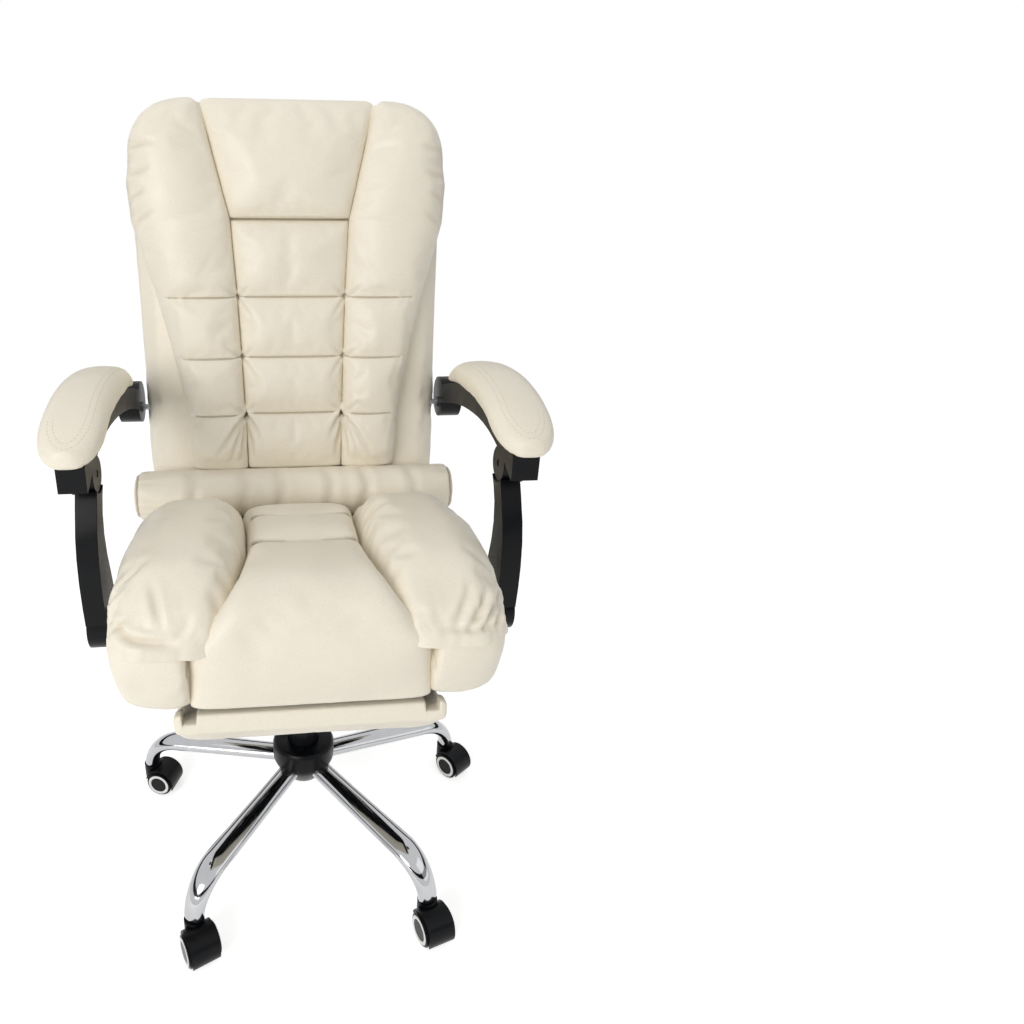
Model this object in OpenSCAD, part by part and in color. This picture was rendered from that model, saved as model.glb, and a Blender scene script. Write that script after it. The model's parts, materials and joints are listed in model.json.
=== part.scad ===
// Reclining office chair with a pull-out footrest, on a five-leg chromed base.
// Millimetres, +Z up, floor at z = 0, the sitter faces -Y.
// The footrest is pushed in and the back is upright: this is the rest pose.

/* [Base] */
// Distance of each caster stem from the column
stem_radius = 296; // [260:1:320]
// Radius of the caster wheels
wheel_r = 24; // [22:0.5:25]
// Horizontal distance of a wheel's axle behind its stem
caster_trail = 22; // [18:1:24]
// Width of a base leg where it leaves the hub
leg_root_w = 27; // [22:1:32]
// Width of a base leg at its bend, the widest place
leg_bend_w = 38; // [30:1:42]
// Width of a base leg at its tip
leg_tip_w = 30; // [26:1:34]
// Radius of the plastic hub cover
hub_cover_r = 53; // [48:1:58]

/* [Column] */
// Outer radius of the gas cylinder
cylinder_r = 25; // [24:0.5:27]
// Height of the gas cylinder's top
cylinder_top = 268; // [250:1:275]
// Radius of the piston rod
rod_r = 14; // [12:0.5:15]

/* [Seat] */
// Rearward slope of the whole seat, degrees
seat_tilt = 6; // [4:0.5:8]
// Height of the seat's underside over the middle of the seat
seat_z = 438; // [430:1:445]
// Half width of the upholstered seat box
box_w = 241; // [230:1:245]
// Height of the seat box above its board's underside
box_h = 100; // [90:1:105]
// Height of the thigh pillows above the box
pillow_h = 90; // [70:1:100]
// Height of the middle pad above the box
pad_h = 68; // [50:1:75]

/* [Back] */
// Crown of the side panels in front of their seams
side_crown = 36; // [20:1:42]
// Crown of the tufted middle panel
panel_crown = 22; // [12:1:28]
// Crown of the headrest
head_crown = 28; // [15:1:34]
// Depth of the sewn tufts
tuft_depth = 16; // [6:1:20]
// Radius of the lumbar roll
roll_r = 42; // [36:1:42]
// Half length of the lumbar roll
roll_half = 272; // [255:1:276]

/* [Arms] */
// Height of the arm frame's middle line at its highest place
arm_peak_z = 756; // [748:1:760]
// Half depth of the arm frame
arm_half = 17; // [14:1:18]
// Half width of the arm pad near its front
arm_pad_w = 43; // [36:1:44]
// Thickness of the arm pad at its crown
arm_pad_t = 40; // [30:1:42]

/* [Footrest] */
// Half width of the footrest pad
foot_w = 172; // [160:1:175]
// Length of the footrest pad, front to back
foot_l = 200; // [180:1:205]
// Thickness of the footrest pad with its board
foot_t = 49; // [44:1:52]
// Radius of the chromed footrest rod
slide_r = 7; // [6:0.5:8]

/* [Hidden] */
$fn = 48;

leather = [0.90, 0.87, 0.79];
black = [0.09, 0.10, 0.12];
steel = [0.55, 0.56, 0.58];
chrome = [0.80, 0.81, 0.83];
plywood = [0.78, 0.66, 0.47];
white = [0.92, 0.92, 0.90];

// Clearances
touch = 0.4;
run = 0.06;
press = 0.02;

// The column stands a little in front of the middle of the chair's length
column_y = -14;
legs = 5;
leg_pitch = 360 / legs;
leg_first = 90;
// Where each caster trails at rest, as an angle seen from above
caster_turn = [-60, -20, -65, -73, -53];

// Base leg: a straight run, then an arch down to the stem
leg_root = 26;
leg_slope = 4;
arch_r = 62;
arch_end = 86;
leg_depth = 25;
leg_end_z = 54.5;
arch_z = leg_end_z - arch_r * cos(arch_end);
arch_x = stem_radius - arch_r * sin(arch_end);
stem_r = 5.5;
stem_top = leg_end_z + 22;
axle_r = 4;

// Caster, across its wheels
hood_half = 21;
hood_web = 6.5;
wheel_in = 7.2;
wheel_out = 24;
ring_r = 20;
cap_r = 15;

// Side view places of the arm linkage, from the column: an exact parallelogram
post_foot = [-138, 505];
post_head = [-115, 703];
arm_rear = [253, 700];
back_pivot = post_foot + arm_rear - post_head;
bolt_r = 5;
rear_bolt_play = 0.6;

// Recline hinge and its lever
bracket_in = 204.4;
bracket_out = 209.6;
plate_in = 212;
plate_out = 217;
hinge_r = 6;
recline_place = [198, 484];
lever_pin_r = 3;
lever_in = 211;
lever_out = 216;
knob_r = 10;
knob_drop = 46;
knob_slant = 10;

// Height lever: its pivot, from the column
lever_place = [-54, 70, 386];
lever_r = 4;
lever_bend = [-30, 0, -12];
lever_rod = 64;

// Side to side places of the right arm
post_in = 266;
post_out = 294;
eye_in = 282;
eye_out = 299;
frame_in = 268;
frame_out = 304;
arm_mid = 288;
eye_r = 27;
lug_r = 24;
paddle_r = 36;
arm_front = -170;
arm_peak_y = -5;
pad_lift = 0.9;

// Seat, in the sloped frame of its board
seat_y = -50;
board_t = 12;
rail_in = 210;
rail_out = 228;
rail_top = 82;
rail_front = -190;
rail_rear = 180;
board_w = 218;
box_corner = 0.2;
box_front = -277;
box_rear = 239;
pad_drop = -238;
seat_end = 151;
split_rear = 87;
split_mid = 81;
split_bend = 98;
split_front = 145;
pad_roll = 62;
pad_stations = [0, 0.06, 0.14, 0.24, 0.29, 0.32, 0.35, 0.4, 0.5, 0.57, 0.6, 0.63, 0.7, 0.82, 1];
plate_bolt_x = 66;
plate_bolt_y = [-6, 136];

// Footrest, in the seat's sloped frame
slide_x = 150;
slide_z = -15;
cross_y = -166;
slide_bend = 24;
slide_end = 232;
rail_y0 = -132;
rail_y1 = 112;
foot_gap = 9.8;
foot_ahead = 74;
foot_board_t = 9;
foot_top = slide_z - foot_gap;
clip_x = [60, 104];

// Back: height, half width, front and rear of the upholstered shell
shell = [[487, 246, 205, 284], [494, 255, 200, 291], [520, 259, 199, 297], [600, 262, 206, 308],
    [700, 264, 218, 324], [800, 266, 233, 338], [900, 268, 250, 348], [1000, 270, 266, 351],
    [1060, 270, 274, 347], [1105, 267, 279, 340], [1140, 258, 282, 333], [1166, 242, 284, 326],
    [1184, 212, 286, 320], [1195, 176, 289, 313], [1200, 136, 292, 308]];
shell_slant = 40;
panel_foot = 609;
panel_top = 1197;
head_seam = 1016;
tuft_rows = [701, 796, 894];
roll_y = 160;
roll_z = 565;
board_x = 205;
board_foot = 540;
board_top = 1140;
board_depth = 15;
board_sink = 8;
slot_in = 200;
slot_out = 225;

// Shared placing
module on_column() translate([0, column_y, 0]) children();
module on_seat() on_column() translate([0, seat_y, seat_z]) rotate([-seat_tilt, 0, 0]) children();
module both_sides() {
    children();
    mirror([1, 0, 0]) children();
}
// A cylinder along X from x0 to x1, through the side view place p
module cross_pin(p, r, x0, x1) {
    translate([x0, p[0], p[1]]) rotate([0, 90, 0]) cylinder(r = r, h = x1 - x0);
}
// A side view outline, given as [y, z], made solid from x0 to x1
module side_plate(x0, x1) {
    translate([x0, 0, 0]) rotate([90, 0, 90]) linear_extrude(x1 - x0) children();
}

// Helpers for the soft forms
function signed_root(v, p) = sign(v) * pow(abs(v), p);
function smooth(t) = let (c = max(0, min(1, t))) c * c * (3 - 2 * c);
function blend(a, b, t) = a + (b - a) * t;
function ridge(u, p) = pow(max(0, 1 - pow(abs(2 * u - 1), p)), 0.5);
function valley(d, w) = exp(-(d * d) / (w * w));
function middle(ring) = [for (k = [0:2]) (min([for (q = ring) q[k]]) + max([for (q = ring) q[k]])) / 2];

// A closed skin over rings of equal count, with a fan at each end
module ring_loft(rings) {
    m = len(rings);
    n = len(rings[0]);
    spots = [for (ring = rings) each ring, middle(rings[0]), middle(rings[m - 1])];
    sides = [for (i = [0:m - 2]) for (j = [0:n - 1])
        let (a = i * n + j, b = i * n + (j + 1) % n) each [[a, b + n, b], [a, a + n, b + n]]];
    first = [for (j = [0:n - 1]) [j, (j + 1) % n, m * n]];
    last = [for (j = [0:n - 1]) [(m - 1) * n + (j + 1) % n, (m - 1) * n + j, m * n + 1]];
    polyhedron(spots, concat(sides, first, last));
}
// A closed skin between a front grid and a back grid of equal size
module grid_pair(front, back) {
    m = len(front);
    n = len(front[0]);
    size = m * n;
    spots = concat([for (row = front) each row], [for (row = back) each row]);
    face = [for (i = [0:m - 2]) for (j = [0:n - 2])
        let (a = i * n + j) each [[a, a + n, a + n + 1], [a, a + n + 1, a + 1]]];
    rear = [for (t = face) [t[0] + size, t[2] + size, t[1] + size]];
    rim = concat([for (j = [0:n - 2]) [j, j + 1]],
        [for (i = [0:m - 2]) [i * n + n - 1, (i + 1) * n + n - 1]],
        [for (j = [n - 1:-1:1]) [(m - 1) * n + j, (m - 1) * n + j - 1]],
        [for (i = [m - 1:-1:1]) [i * n, (i - 1) * n]]);
    wall = [for (e = rim) each [[e[0], e[1], e[1] + size], [e[0], e[1] + size, e[0] + size]]];
    polyhedron(spots, concat(face, rear, wall));
}

// Base
function leg_spot(t) = t < 0.5
    ? let (r = blend(leg_root, arch_x + arch_r * sin(leg_slope), t * 2))
        [r, arch_z + arch_r * cos(leg_slope) + (arch_x - r) * tan(leg_slope), leg_slope]
    : let (a = blend(leg_slope, arch_end, t * 2 - 1)) [arch_x + arch_r * sin(a), arch_z + arch_r * cos(a), a];
function leg_width(t) = t < 0.55 ? blend(leg_root_w, leg_bend_w, smooth(t / 0.55))
    : blend(leg_bend_w, leg_tip_w, smooth((t - 0.55) / 0.45));
function leg_ring(t, n) = let (s = leg_spot(t), w = leg_width(t) / 2, h = leg_depth / 2)
    [for (j = [0:n - 1])
        let (a = 360 * j / n, u = w * signed_root(cos(a), 0.8), v = h * signed_root(sin(a), 0.8))
        [s[0] + v * sin(s[2]), u, s[1] + v * cos(s[2])]];
module leg() {
    ring_loft([for (t = [0, 0.25, 0.4, 0.5, 0.58, 0.66, 0.74, 0.82, 0.9, 1]) leg_ring(t, 14)]);
}
module star_base() {
    hub_r = 31;
    hub_foot = 98;
    hub_top = 158;
    color(chrome) on_column() difference() {
        union() {
            translate([0, 0, hub_foot]) cylinder(r = hub_r, h = hub_top - hub_foot);
            for (i = [0:legs - 1]) rotate([0, 0, leg_first + leg_pitch * i]) leg();
        }
        translate([0, 0, hub_foot - 1]) cylinder(r = cylinder_r + press, h = hub_top - hub_foot + 2);
        for (i = [0:legs - 1]) rotate([0, 0, leg_first + leg_pitch * i])
            translate([stem_radius, 0, 40]) cylinder(r = stem_r + run, h = stem_top + 2 - 40);
    }
}
module hub_cover() {
    wall = 3;
    drum_foot = 118;
    drum_top = 166;
    leg_slot_w = leg_root_w + 6;
    color(black) on_column() difference() {
        rotate_extrude() polygon([[cylinder_r + 1, drum_top], [hub_cover_r - 7, drum_top],
            [hub_cover_r, drum_top - 8], [hub_cover_r, drum_foot + 16], [hub_cover_r - 10, drum_foot],
            [hub_cover_r - 10 - wall, drum_foot], [hub_cover_r - wall, drum_foot + 16],
            [hub_cover_r - wall, drum_top - 8 - wall], [cylinder_r + 1, drum_top - 2 * wall]]);
        for (i = [0:legs - 1]) rotate([0, 0, leg_first + leg_pitch * i])
            translate([leg_root, -leg_slot_w / 2, drum_foot - 5]) cube([60, leg_slot_w, 32]);
    }
}

// Column
module gas_cylinder() {
    foot = 92;
    bush_h = 22;
    color(black) on_column() difference() {
        union() {
            translate([0, 0, foot]) cylinder(r = cylinder_r, h = cylinder_top - foot - 2);
            translate([0, 0, cylinder_top - 2]) cylinder(r1 = cylinder_r, r2 = cylinder_r - 2, h = 2);
        }
        translate([0, 0, foot + 6]) cylinder(r = cylinder_r - 4, h = cylinder_top - foot - 6 - bush_h);
        translate([0, 0, foot + 7]) cylinder(r = rod_r + run, h = cylinder_top - foot);
    }
}
module piston_rod() {
    color(chrome) on_column() {
        translate([0, 0, 196]) cylinder(r = rod_r, h = 222);
        translate([0, 0, 196]) cylinder(r = rod_r + 4, h = 8);
        translate([0, 0, 418]) cylinder(r = 5, h = 5);
    }
}

// Casters: each is modelled with its stem at the origin, trailing towards -X
module at_caster(i) {
    on_column() rotate([0, 0, leg_first + leg_pitch * (i - 1)]) translate([stem_radius, 0, 0])
        rotate([0, 0, caster_turn[i - 1] + 180 - leg_first - leg_pitch * (i - 1)]) children();
}
module along_axle(y0, y1, r) {
    translate([-caster_trail, y0, wheel_r]) rotate([-90, 0, 0]) cylinder(r = r, h = y1 - y0);
}
module caster_hood(i) {
    fender_in = wheel_r + 1;
    fender_out = wheel_r + 3.4;
    boss_r = 10.5;
    boss_foot = 22;
    color(black) at_caster(i) difference() {
        union() {
            difference() {
                translate([0, 0, boss_foot]) cylinder(r = boss_r, h = leg_end_z - 1.5 - boss_foot);
                for (s = [0, 1]) mirror([0, s, 0]) along_axle(hood_web, hood_half, fender_in);
            }
            intersection() {
                along_axle(-hood_web, hood_web, fender_in + 0.5);
                translate([-60, -20, 8]) cube([70, 40, 60]);
            }
            translate([-caster_trail, 0, wheel_r]) rotate([90, 0, 0])
                rotate_extrude(angle = 192, start = 12)
                    translate([fender_in, -hood_half]) square([fender_out - fender_in, 2 * hood_half]);
        }
        along_axle(-hood_web - 1, hood_web + 1, axle_r + press);
        translate([0, 0, 20]) cylinder(r = stem_r + press, h = 60);
    }
}
module caster_pins(i) {
    color(steel) at_caster(i) {
        translate([0, 0, 30]) cylinder(r = stem_r, h = stem_top - 30);
        along_axle(-hood_half, hood_half, axle_r);
    }
}
module caster_wheels(i) {
    color(black) at_caster(i) for (s = [0, 1]) mirror([0, s, 0]) difference() {
        union() {
            along_axle(wheel_in, wheel_out - 2, wheel_r);
            along_axle(wheel_out - 2.5, wheel_out, wheel_r - 1.8);
            along_axle(wheel_out - 1, wheel_out + 1, cap_r - touch);
        }
        along_axle(wheel_in - 1, 22, axle_r + run);
    }
}
module caster_rings(i) {
    color(white) at_caster(i) for (s = [0, 1]) mirror([0, s, 0]) difference() {
        along_axle(wheel_out + 0.05, wheel_out + 1.4, ring_r);
        along_axle(wheel_out - 1, wheel_out + 3, cap_r);
    }
}

// Seat
module at_plate_bolts() {
    on_seat() for (x = [-plate_bolt_x, plate_bolt_x]) for (y = plate_bolt_y) translate([x, y, 0]) children();
}
module seat_plate() {
    plate_x = 82;
    plate_y0 = -28;
    plate_y1 = 150;
    channel_x = 46;
    wall = 3;
    socket_r = 20;
    lug_gap = 5.3;
    lug_t = 4;
    color(black) difference() {
        union() {
            on_seat() {
                translate([-plate_x, plate_y0, -4]) cube([2 * plate_x, plate_y1 - plate_y0, 4]);
                difference() {
                    translate([-channel_x, plate_y0 + 8, -46])
                        cube([2 * channel_x, plate_y1 - plate_y0 - 16, 43]);
                    translate([-channel_x + wall, plate_y0 + 8 + wall, -50])
                        cube([2 * (channel_x - wall), plate_y1 - plate_y0 - 16 - 2 * wall, 46]);
                }
            }
            on_column() translate([0, 0, 378]) cylinder(r = socket_r, h = 46);
            on_column() translate(lever_place) {
                for (y = [-lug_gap - lug_t, lug_gap]) translate([-7, y, -7]) cube([16, lug_t, 14]);
                rotate([90, 0, 0]) cylinder(r = lever_pin_r, h = 2 * lug_gap + 1, center = true);
            }
        }
        on_column() translate([0, 0, 370]) cylinder(r = rod_r + run, h = 48.5);
        on_column() translate([0, 0, 370]) cylinder(r = 6, h = 56);
        at_plate_bolts() translate([0, 0, -10]) cylinder(r = 3.2, h = 20);
    }
}
module plate_bolts() {
    color(steel) at_plate_bolts() {
        translate([0, 0, -9]) cylinder(r = 6, h = 5 - press);
        translate([0, 0, -5]) cylinder(r = 3, h = 14);
    }
}
module seat_board() {
    color(plywood) difference() {
        on_seat() {
            board_shape(0, 0, board_t);
            both_sides() translate([rail_in, rail_front, board_t - 1])
                cube([rail_out - rail_in, rail_rear - rail_front, rail_top - board_t + 1]);
        }
        at_plate_bolts() translate([0, 0, -2]) cylinder(r = 3 + press, h = 20);
        on_column() both_sides() cross_pin(post_foot, 12 + touch / 4, rail_out - 8, rail_out + 5);
    }
}
function box_ring(z, w, y0, y1, n) = let (c = (y0 + y1) / 2, h = (y1 - y0) / 2)
    [for (j = [0:n - 1]) let (a = 360 * j / n + 180 / n)
        [w * signed_root(cos(a), box_corner), c + h * signed_root(sin(a), box_corner), z]];
module board_shape(grow, z0, z1) {
    translate([0, 0, z0]) linear_extrude(z1 - z0)
        polygon([for (q = box_ring(0, board_w + grow, -232 - grow, 214 + grow, 32)) [q[0], q[1]]]);
}
module seat_cushion() {
    wrap = 0.5;
    color(leather) difference() {
        on_seat() ring_loft([
            box_ring(0.5, box_w - 10, -245, box_rear - 10, 32),
            box_ring(9, box_w - 3, -253, box_rear - 3, 32),
            box_ring(30, box_w, -262, box_rear, 32),
            box_ring(62, box_w + 3, -272, box_rear + 1, 32),
            box_ring(88, box_w + 1, box_front, box_rear, 32),
            box_ring(box_h, box_w - 6, box_front + 5, box_rear - 8, 32)]);
        on_seat() {
            board_shape(wrap, -5, board_t + wrap);
            both_sides() translate([rail_in - wrap, rail_front - wrap, 0])
                cube([rail_out - rail_in + 2 * wrap, rail_rear - rail_front + 2 * wrap, rail_top + wrap]);
            both_sides() translate([rail_in - 7, 100, 0]) cube([8, 160, rail_top + 16]);
            translate([-split_front - 2, -300, -5]) cube([2 * split_front + 4, 300 + pad_drop, 160]);
        }
        on_column() both_sides() cross_pin(post_foot, 12.6, 200, 270);
    }
}
// Half width of the middle pad: narrow in its middle, flaring where it turns down
function split_x(y) = blend(split_rear, split_mid, smooth((100 - y) / 200))
    + (split_bend - split_mid) * smooth((-120 - y) / 120)
    + (split_front - split_bend) * smooth((-225 - y) / 55);
function pillow_side(y) = blend(236, 250, smooth((170 - y) / 260)) - 5 * smooth((-190 - y) / 100);
function pillow_ring(inset, z, n) = let (y0 = -284, c = (y0 + seat_end) / 2, h = (seat_end - y0) / 2 - inset)
    [for (j = [0:n - 1]) let (a = 360 * j / n, y = c + h * signed_root(sin(a), 0.5),
        u = (1 + signed_root(cos(a), 0.5)) / 2)
        [blend(split_x(y) + inset, pillow_side(y) - inset, u), y, z]];
module seat_pillow() {
    z0 = box_h + touch;
    steps = [[10, 0], [3, 0.12], [0, 0.32], [2, 0.52], [9, 0.71], [21, 0.86], [38, 0.955], [58, 1]];
    on_seat() ring_loft([for (s = steps) pillow_ring(s[0], z0 + s[1] * pillow_h, 28)]);
}
module seat_pillow_right() { color(leather) seat_pillow(); }
module seat_pillow_left() { color(leather) mirror([1, 0, 0]) seat_pillow(); }

// The middle pad runs forward over the box, then down its front
function pad_dip(y) = 13 * (valley(y - 12, 11) + valley(y + 108, 11));
function pad_top_row(t) = let (y = blend(seat_end, box_front + pad_roll, t))
    [[y, box_h + touch], [y, box_h + pad_h - 10 * (1 - smooth(t * 6)) - pad_dip(y)], [0, 1], split_x(y)];
function pad_bend_row(a) = [[pad_drop - touch, blend(box_h + touch, 70, (a - 18) / 72)],
    [box_front + pad_roll - (pad_roll + 6) * sin(a), box_h + pad_h - pad_roll + pad_roll * cos(a)],
    [-sin(a), cos(a)], blend(split_x(pad_drop), split_front, pow(a / 90, 3))];
function pad_drop_row(t) = [[pad_drop - touch, blend(60, 1, t)],
    [blend(box_front - 7, -256, smooth(t)), blend(84, 1, t)], [-1, 0], split_front + 1];
function pad_rows() = concat([for (t = pad_stations) pad_top_row(t)],
    [for (a = [18, 36, 54, 72, 90]) pad_bend_row(a)], [for (t = [0.2, 0.5, 0.8, 1]) pad_drop_row(t)]);
function pad_section(row, n) = let (in = row[0], out = row[1], nrm = row[2], w = row[3] - 0.8)
    concat([[w, in[0], in[1]]], [for (k = [0:n]) let (u = 1 - 2 * k / n, e = pow(abs(u), 4) * 17)
        [w * u, out[0] - nrm[0] * e, out[1] - nrm[1] * e]], [[-w, in[0], in[1]]]);
module seat_pad() {
    color(leather) on_seat() ring_loft([for (row = pad_rows()) pad_section(row, 8)]);
}
module footrest_rails() {
    rail_r = 9;
    color(black) on_seat() both_sides() translate([slide_x, 0, slide_z]) difference() {
        union() {
            translate([0, rail_y0, 0]) rotate([-90, 0, 0]) cylinder(r = rail_r, h = rail_y1 - rail_y0);
            for (y = [rail_y0 + 14, rail_y1 - 44]) translate([-9, y, 0]) cube([18, 30, -slide_z]);
            for (y = [rail_y0 + 14, rail_y1 - 44]) translate([-22, y, -slide_z - 3]) cube([44, 30, 3]);
        }
        translate([0, rail_y0 - 1, 0]) rotate([-90, 0, 0])
            cylinder(r = slide_r + run, h = rail_y1 - rail_y0 + 2);
    }
}
// Recline hinge: the seat's steel arms, their pins and the back's plates
module hinge_brackets() {
    color(steel) on_column() both_sides() difference() {
        side_plate(bracket_in, bracket_out) union() {
            polygon([[62, 447], [62, 492], [178, 508], [230, 518], [245, 506], [233, 486], [176, 466],
                [120, 444]]);
            translate(back_pivot) circle(r = 16);
        }
        cross_pin(back_pivot, hinge_r + press, bracket_in - 5, bracket_out + 5);
        cross_pin(recline_place, lever_pin_r + press, bracket_out - 2, bracket_out + 5);
    }
}
module hinge_pins() {
    color(steel) on_column() both_sides() {
        cross_pin(back_pivot, hinge_r, bracket_in - 1, plate_out + 3);
        cross_pin(back_pivot, 9, bracket_in - 3.5, bracket_in - press);
    }
    color(steel) on_column() cross_pin(recline_place, lever_pin_r, bracket_out - 2, lever_out + 3);
}
module hinge_plate_outline() {
    translate(back_pivot) circle(r = 15);
    polygon([[216, 508], [217, 560], [226, 680], [236, 680], [241, 560], [244, 506]]);
}
module back_hinge_plates() {
    color(steel) on_column() both_sides() difference() {
        side_plate(plate_in, plate_out) hinge_plate_outline();
        cross_pin(back_pivot, hinge_r + run, plate_in - 5, plate_out + 5);
    }
}
module arm_bolts() {
    color(steel) on_column() both_sides() {
        cross_pin(post_foot, 12, rail_out - 8 + press, post_in - touch);
        cross_pin(post_foot, bolt_r, post_in - 1, post_out - 2);
        cross_pin(post_foot, 10, post_out - 3 + run, post_out - 0.6);
    }
}

// Levers
module height_lever() {
    boss_r = 7;
    web_t = 6;
    web_half = 2.5;
    color(steel) on_column() translate(lever_place) difference() {
        union() {
            rotate([90, 0, 0]) cylinder(r = boss_r, h = 10, center = true);
            rotate([90, 0, 0]) linear_extrude(web_t, center = true)
                polygon([[1, -3], [-1, 3], [lever_bend[0] - 1, lever_bend[2] + web_half],
                    [lever_bend[0] - 6, lever_bend[2] + web_half], [lever_bend[0] - 6, lever_bend[2] - web_half],
                    [lever_bend[0] + 1, lever_bend[2] - web_half]]);
            translate(lever_bend - [2, 0, 0]) rotate([0, -90, 0]) cylinder(r = lever_r, h = lever_rod - 2);
        }
        rotate([90, 0, 0]) cylinder(r = lever_pin_r + run, h = 12, center = true);
    }
}
module height_grip() {
    grip_start = lever_place + lever_bend + [14 - lever_rod, 0, 0];
    color(black) on_column() difference() {
        hull() {
            translate(grip_start) rotate([0, -90, 0]) cylinder(r = 7, h = 2, $fn = 32);
            translate(grip_start + [-42, 0, 0]) scale([1, 1.5, 0.8]) sphere(r = 8, $fn = 32);
        }
        translate(grip_start + [1, 0, 0]) rotate([0, -90, 0]) cylinder(r = lever_r + press, h = 16);
    }
}
module recline_lever() {
    color(black) on_column() difference() {
        union() {
            cross_pin(recline_place, 7, lever_in, lever_out);
            translate([(lever_in + lever_out) / 2, recline_place[0], recline_place[1]])
                rotate([180 + knob_slant, 0, 0]) {
                    cylinder(r = 2.5, h = knob_drop - 6);
                    translate([0, 0, knob_drop]) sphere(r = knob_r);
                }
        }
        cross_pin(recline_place, lever_pin_r + run, lever_in - 5, lever_out + 5);
    }
}

// Back
function shell_at(z, k) = lookup(z, [for (row = shell) [row[0], row[k]]]);
function shell_ring(row, n) = let (c = (row[2] + row[3]) / 2, h = (row[3] - row[2]) / 2,
    slant = shell_slant * (1 - smooth((row[0] - 487) / 110)))
    [for (j = [0:n - 1]) let (a = 360 * j / n + 180 / n, s = signed_root(sin(a), 0.42))
        [row[1] * signed_root(cos(a), 0.42), c + h * s, row[0] - slant * (1 + s) / 2]];
module back_shell() {
    color(leather) on_column() difference() {
        ring_loft([for (row = shell) shell_ring(row, 28)]);
        side_plate(-board_x - touch, board_x + touch) board_outline(touch);
        both_sides() translate([slot_in, 185, 430]) cube([slot_out - slot_in, 78, 112]);
        both_sides() side_plate(plate_in - 3, plate_out + 3) offset(delta = 3) hinge_plate_outline();
        both_sides() cross_pin(arm_rear, bolt_r + press, 215, 290);
    }
}
// The moulded board follows the front of the shell, sunk into it
module board_outline(grow) {
    steps = 6;
    heights = [for (k = [0:steps]) blend(board_foot - grow, board_top + grow, k / steps)];
    polygon(concat([for (z = heights) [shell_at(z, 2) + board_sink - grow, z]],
        [for (k = [steps:-1:0]) [shell_at(heights[k], 2) + board_sink + board_depth + grow, heights[k]]]));
}
module back_board() {
    color(plywood) on_column() side_plate(-board_x, board_x) board_outline(0);
}
// The front of the back: seams lie deeper than the panels between them
function seam_y(z) = lookup(z, [[600, 186], [700, 199], [800, 212], [900, 227], [1016, 241], [1110, 256],
    [1200, 276]]);
function inner_x(z) = lookup(z, [[600, 82], [700, 84], [800, 87], [900, 91], [1016, 98], [1200, 143]]);
function outer_x(z) = lookup(z, [[600, 178], [700, 184], [757, 195], [831, 211], [900, 228], [960, 246],
    [1010, 261], [1070, 265], [1115, 261], [1150, 247], [1180, 213], [1200, 172]]);
function panel_heights(rows, k) = [for (i = [0:len(rows) - 2]) for (j = [0:k - 1])
    blend(rows[i], rows[i + 1], j / k)];
function row_dip(z) = max([for (r = tuft_rows) valley(z - r, 13)]);
function end_fade(z) = smooth((panel_top + 2 - z) / 90) * blend(0.55, 1, smooth((z - panel_foot) / 60));
module panel(heights, wide, front_y) {
    front = [for (z = heights) [for (k = [0:wide]) let (u = k / wide) front_y(u, z)]];
    back = [for (row = front) [for (q = row)
        [q[0], shell_at(q[2], 2) - touch - 0.2 - 1.2 * smooth((q[2] - 1140) / 30), q[2]]]];
    grid_pair(front, back);
}
side_rows = panel_heights([panel_foot, 701, 796, 894, 1016, 1110, panel_top], 4);
mid_rows = panel_heights([panel_foot, 701, 796, 894, head_seam], 4);
head_rows = panel_heights([head_seam, 1100, panel_top], 4);
function side_spot(u, z) = let (x = blend(inner_x(z) + 0.4, outer_x(z), u), edge = shell_at(z, 2) - 11,
    base = blend(seam_y(z), edge, u * u * u),
    dip = tuft_depth * row_dip(z) * (1 - 0.65 * u))
    [x, base - (side_crown - dip) * ridge(u, 3) * end_fade(z), z];
function mid_spot(u, z) = let (w = inner_x(z) - 0.4)
    [w * (2 * u - 1), seam_y(z) - (panel_crown - tuft_depth * row_dip(z)) * ridge(u, 3) * end_fade(z)
        * (1 - valley(z - head_seam, 12)), z];
function head_spot(u, z) = let (w = inner_x(z) - 0.4)
    [w * (2 * u - 1), seam_y(z) - head_crown * ridge(u, 3.5) * smooth((panel_top + 2 - z) / 80)
        * (1 - valley(z - head_seam - 1, 14)), z];
module back_side() {
    on_column() panel(concat(side_rows, [panel_top]), 8, function (u, z) side_spot(u, z));
}
module back_side_right() { color(leather) back_side(); }
module back_side_left() { color(leather) mirror([1, 0, 0]) back_side(); }
module back_panel() {
    color(leather) on_column() panel(concat(mid_rows, [head_seam]), 10, function (u, z) mid_spot(u, z));
}
module headrest() {
    color(leather) on_column() panel(concat([head_seam + 0.8], [for (k = [1:7]) head_rows[k]], [panel_top]), 10,
        function (u, z) head_spot(u, z));
}
module lumbar_roll() {
    edge_r = 12;
    color(leather) on_column() translate([0, roll_y, roll_z]) rotate([0, 90, 0]) rotate_extrude() union() {
        translate([0, -roll_half]) square([roll_r - edge_r, 2 * roll_half]);
        translate([0, -roll_half + edge_r]) square([roll_r, 2 * (roll_half - edge_r)]);
        translate([roll_r - edge_r, roll_half - edge_r]) circle(r = edge_r);
        translate([roll_r - edge_r, -roll_half + edge_r]) circle(r = edge_r);
    }
}
module back_bolts() {
    color(steel) on_column() both_sides() {
        cross_pin(arm_rear, bolt_r, 216, frame_out - 4);
        cross_pin(arm_rear, 9, 264.6, frame_in - touch);
        cross_pin(arm_rear, 10, frame_out - 6, frame_out - 2.5);
    }
}

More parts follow.
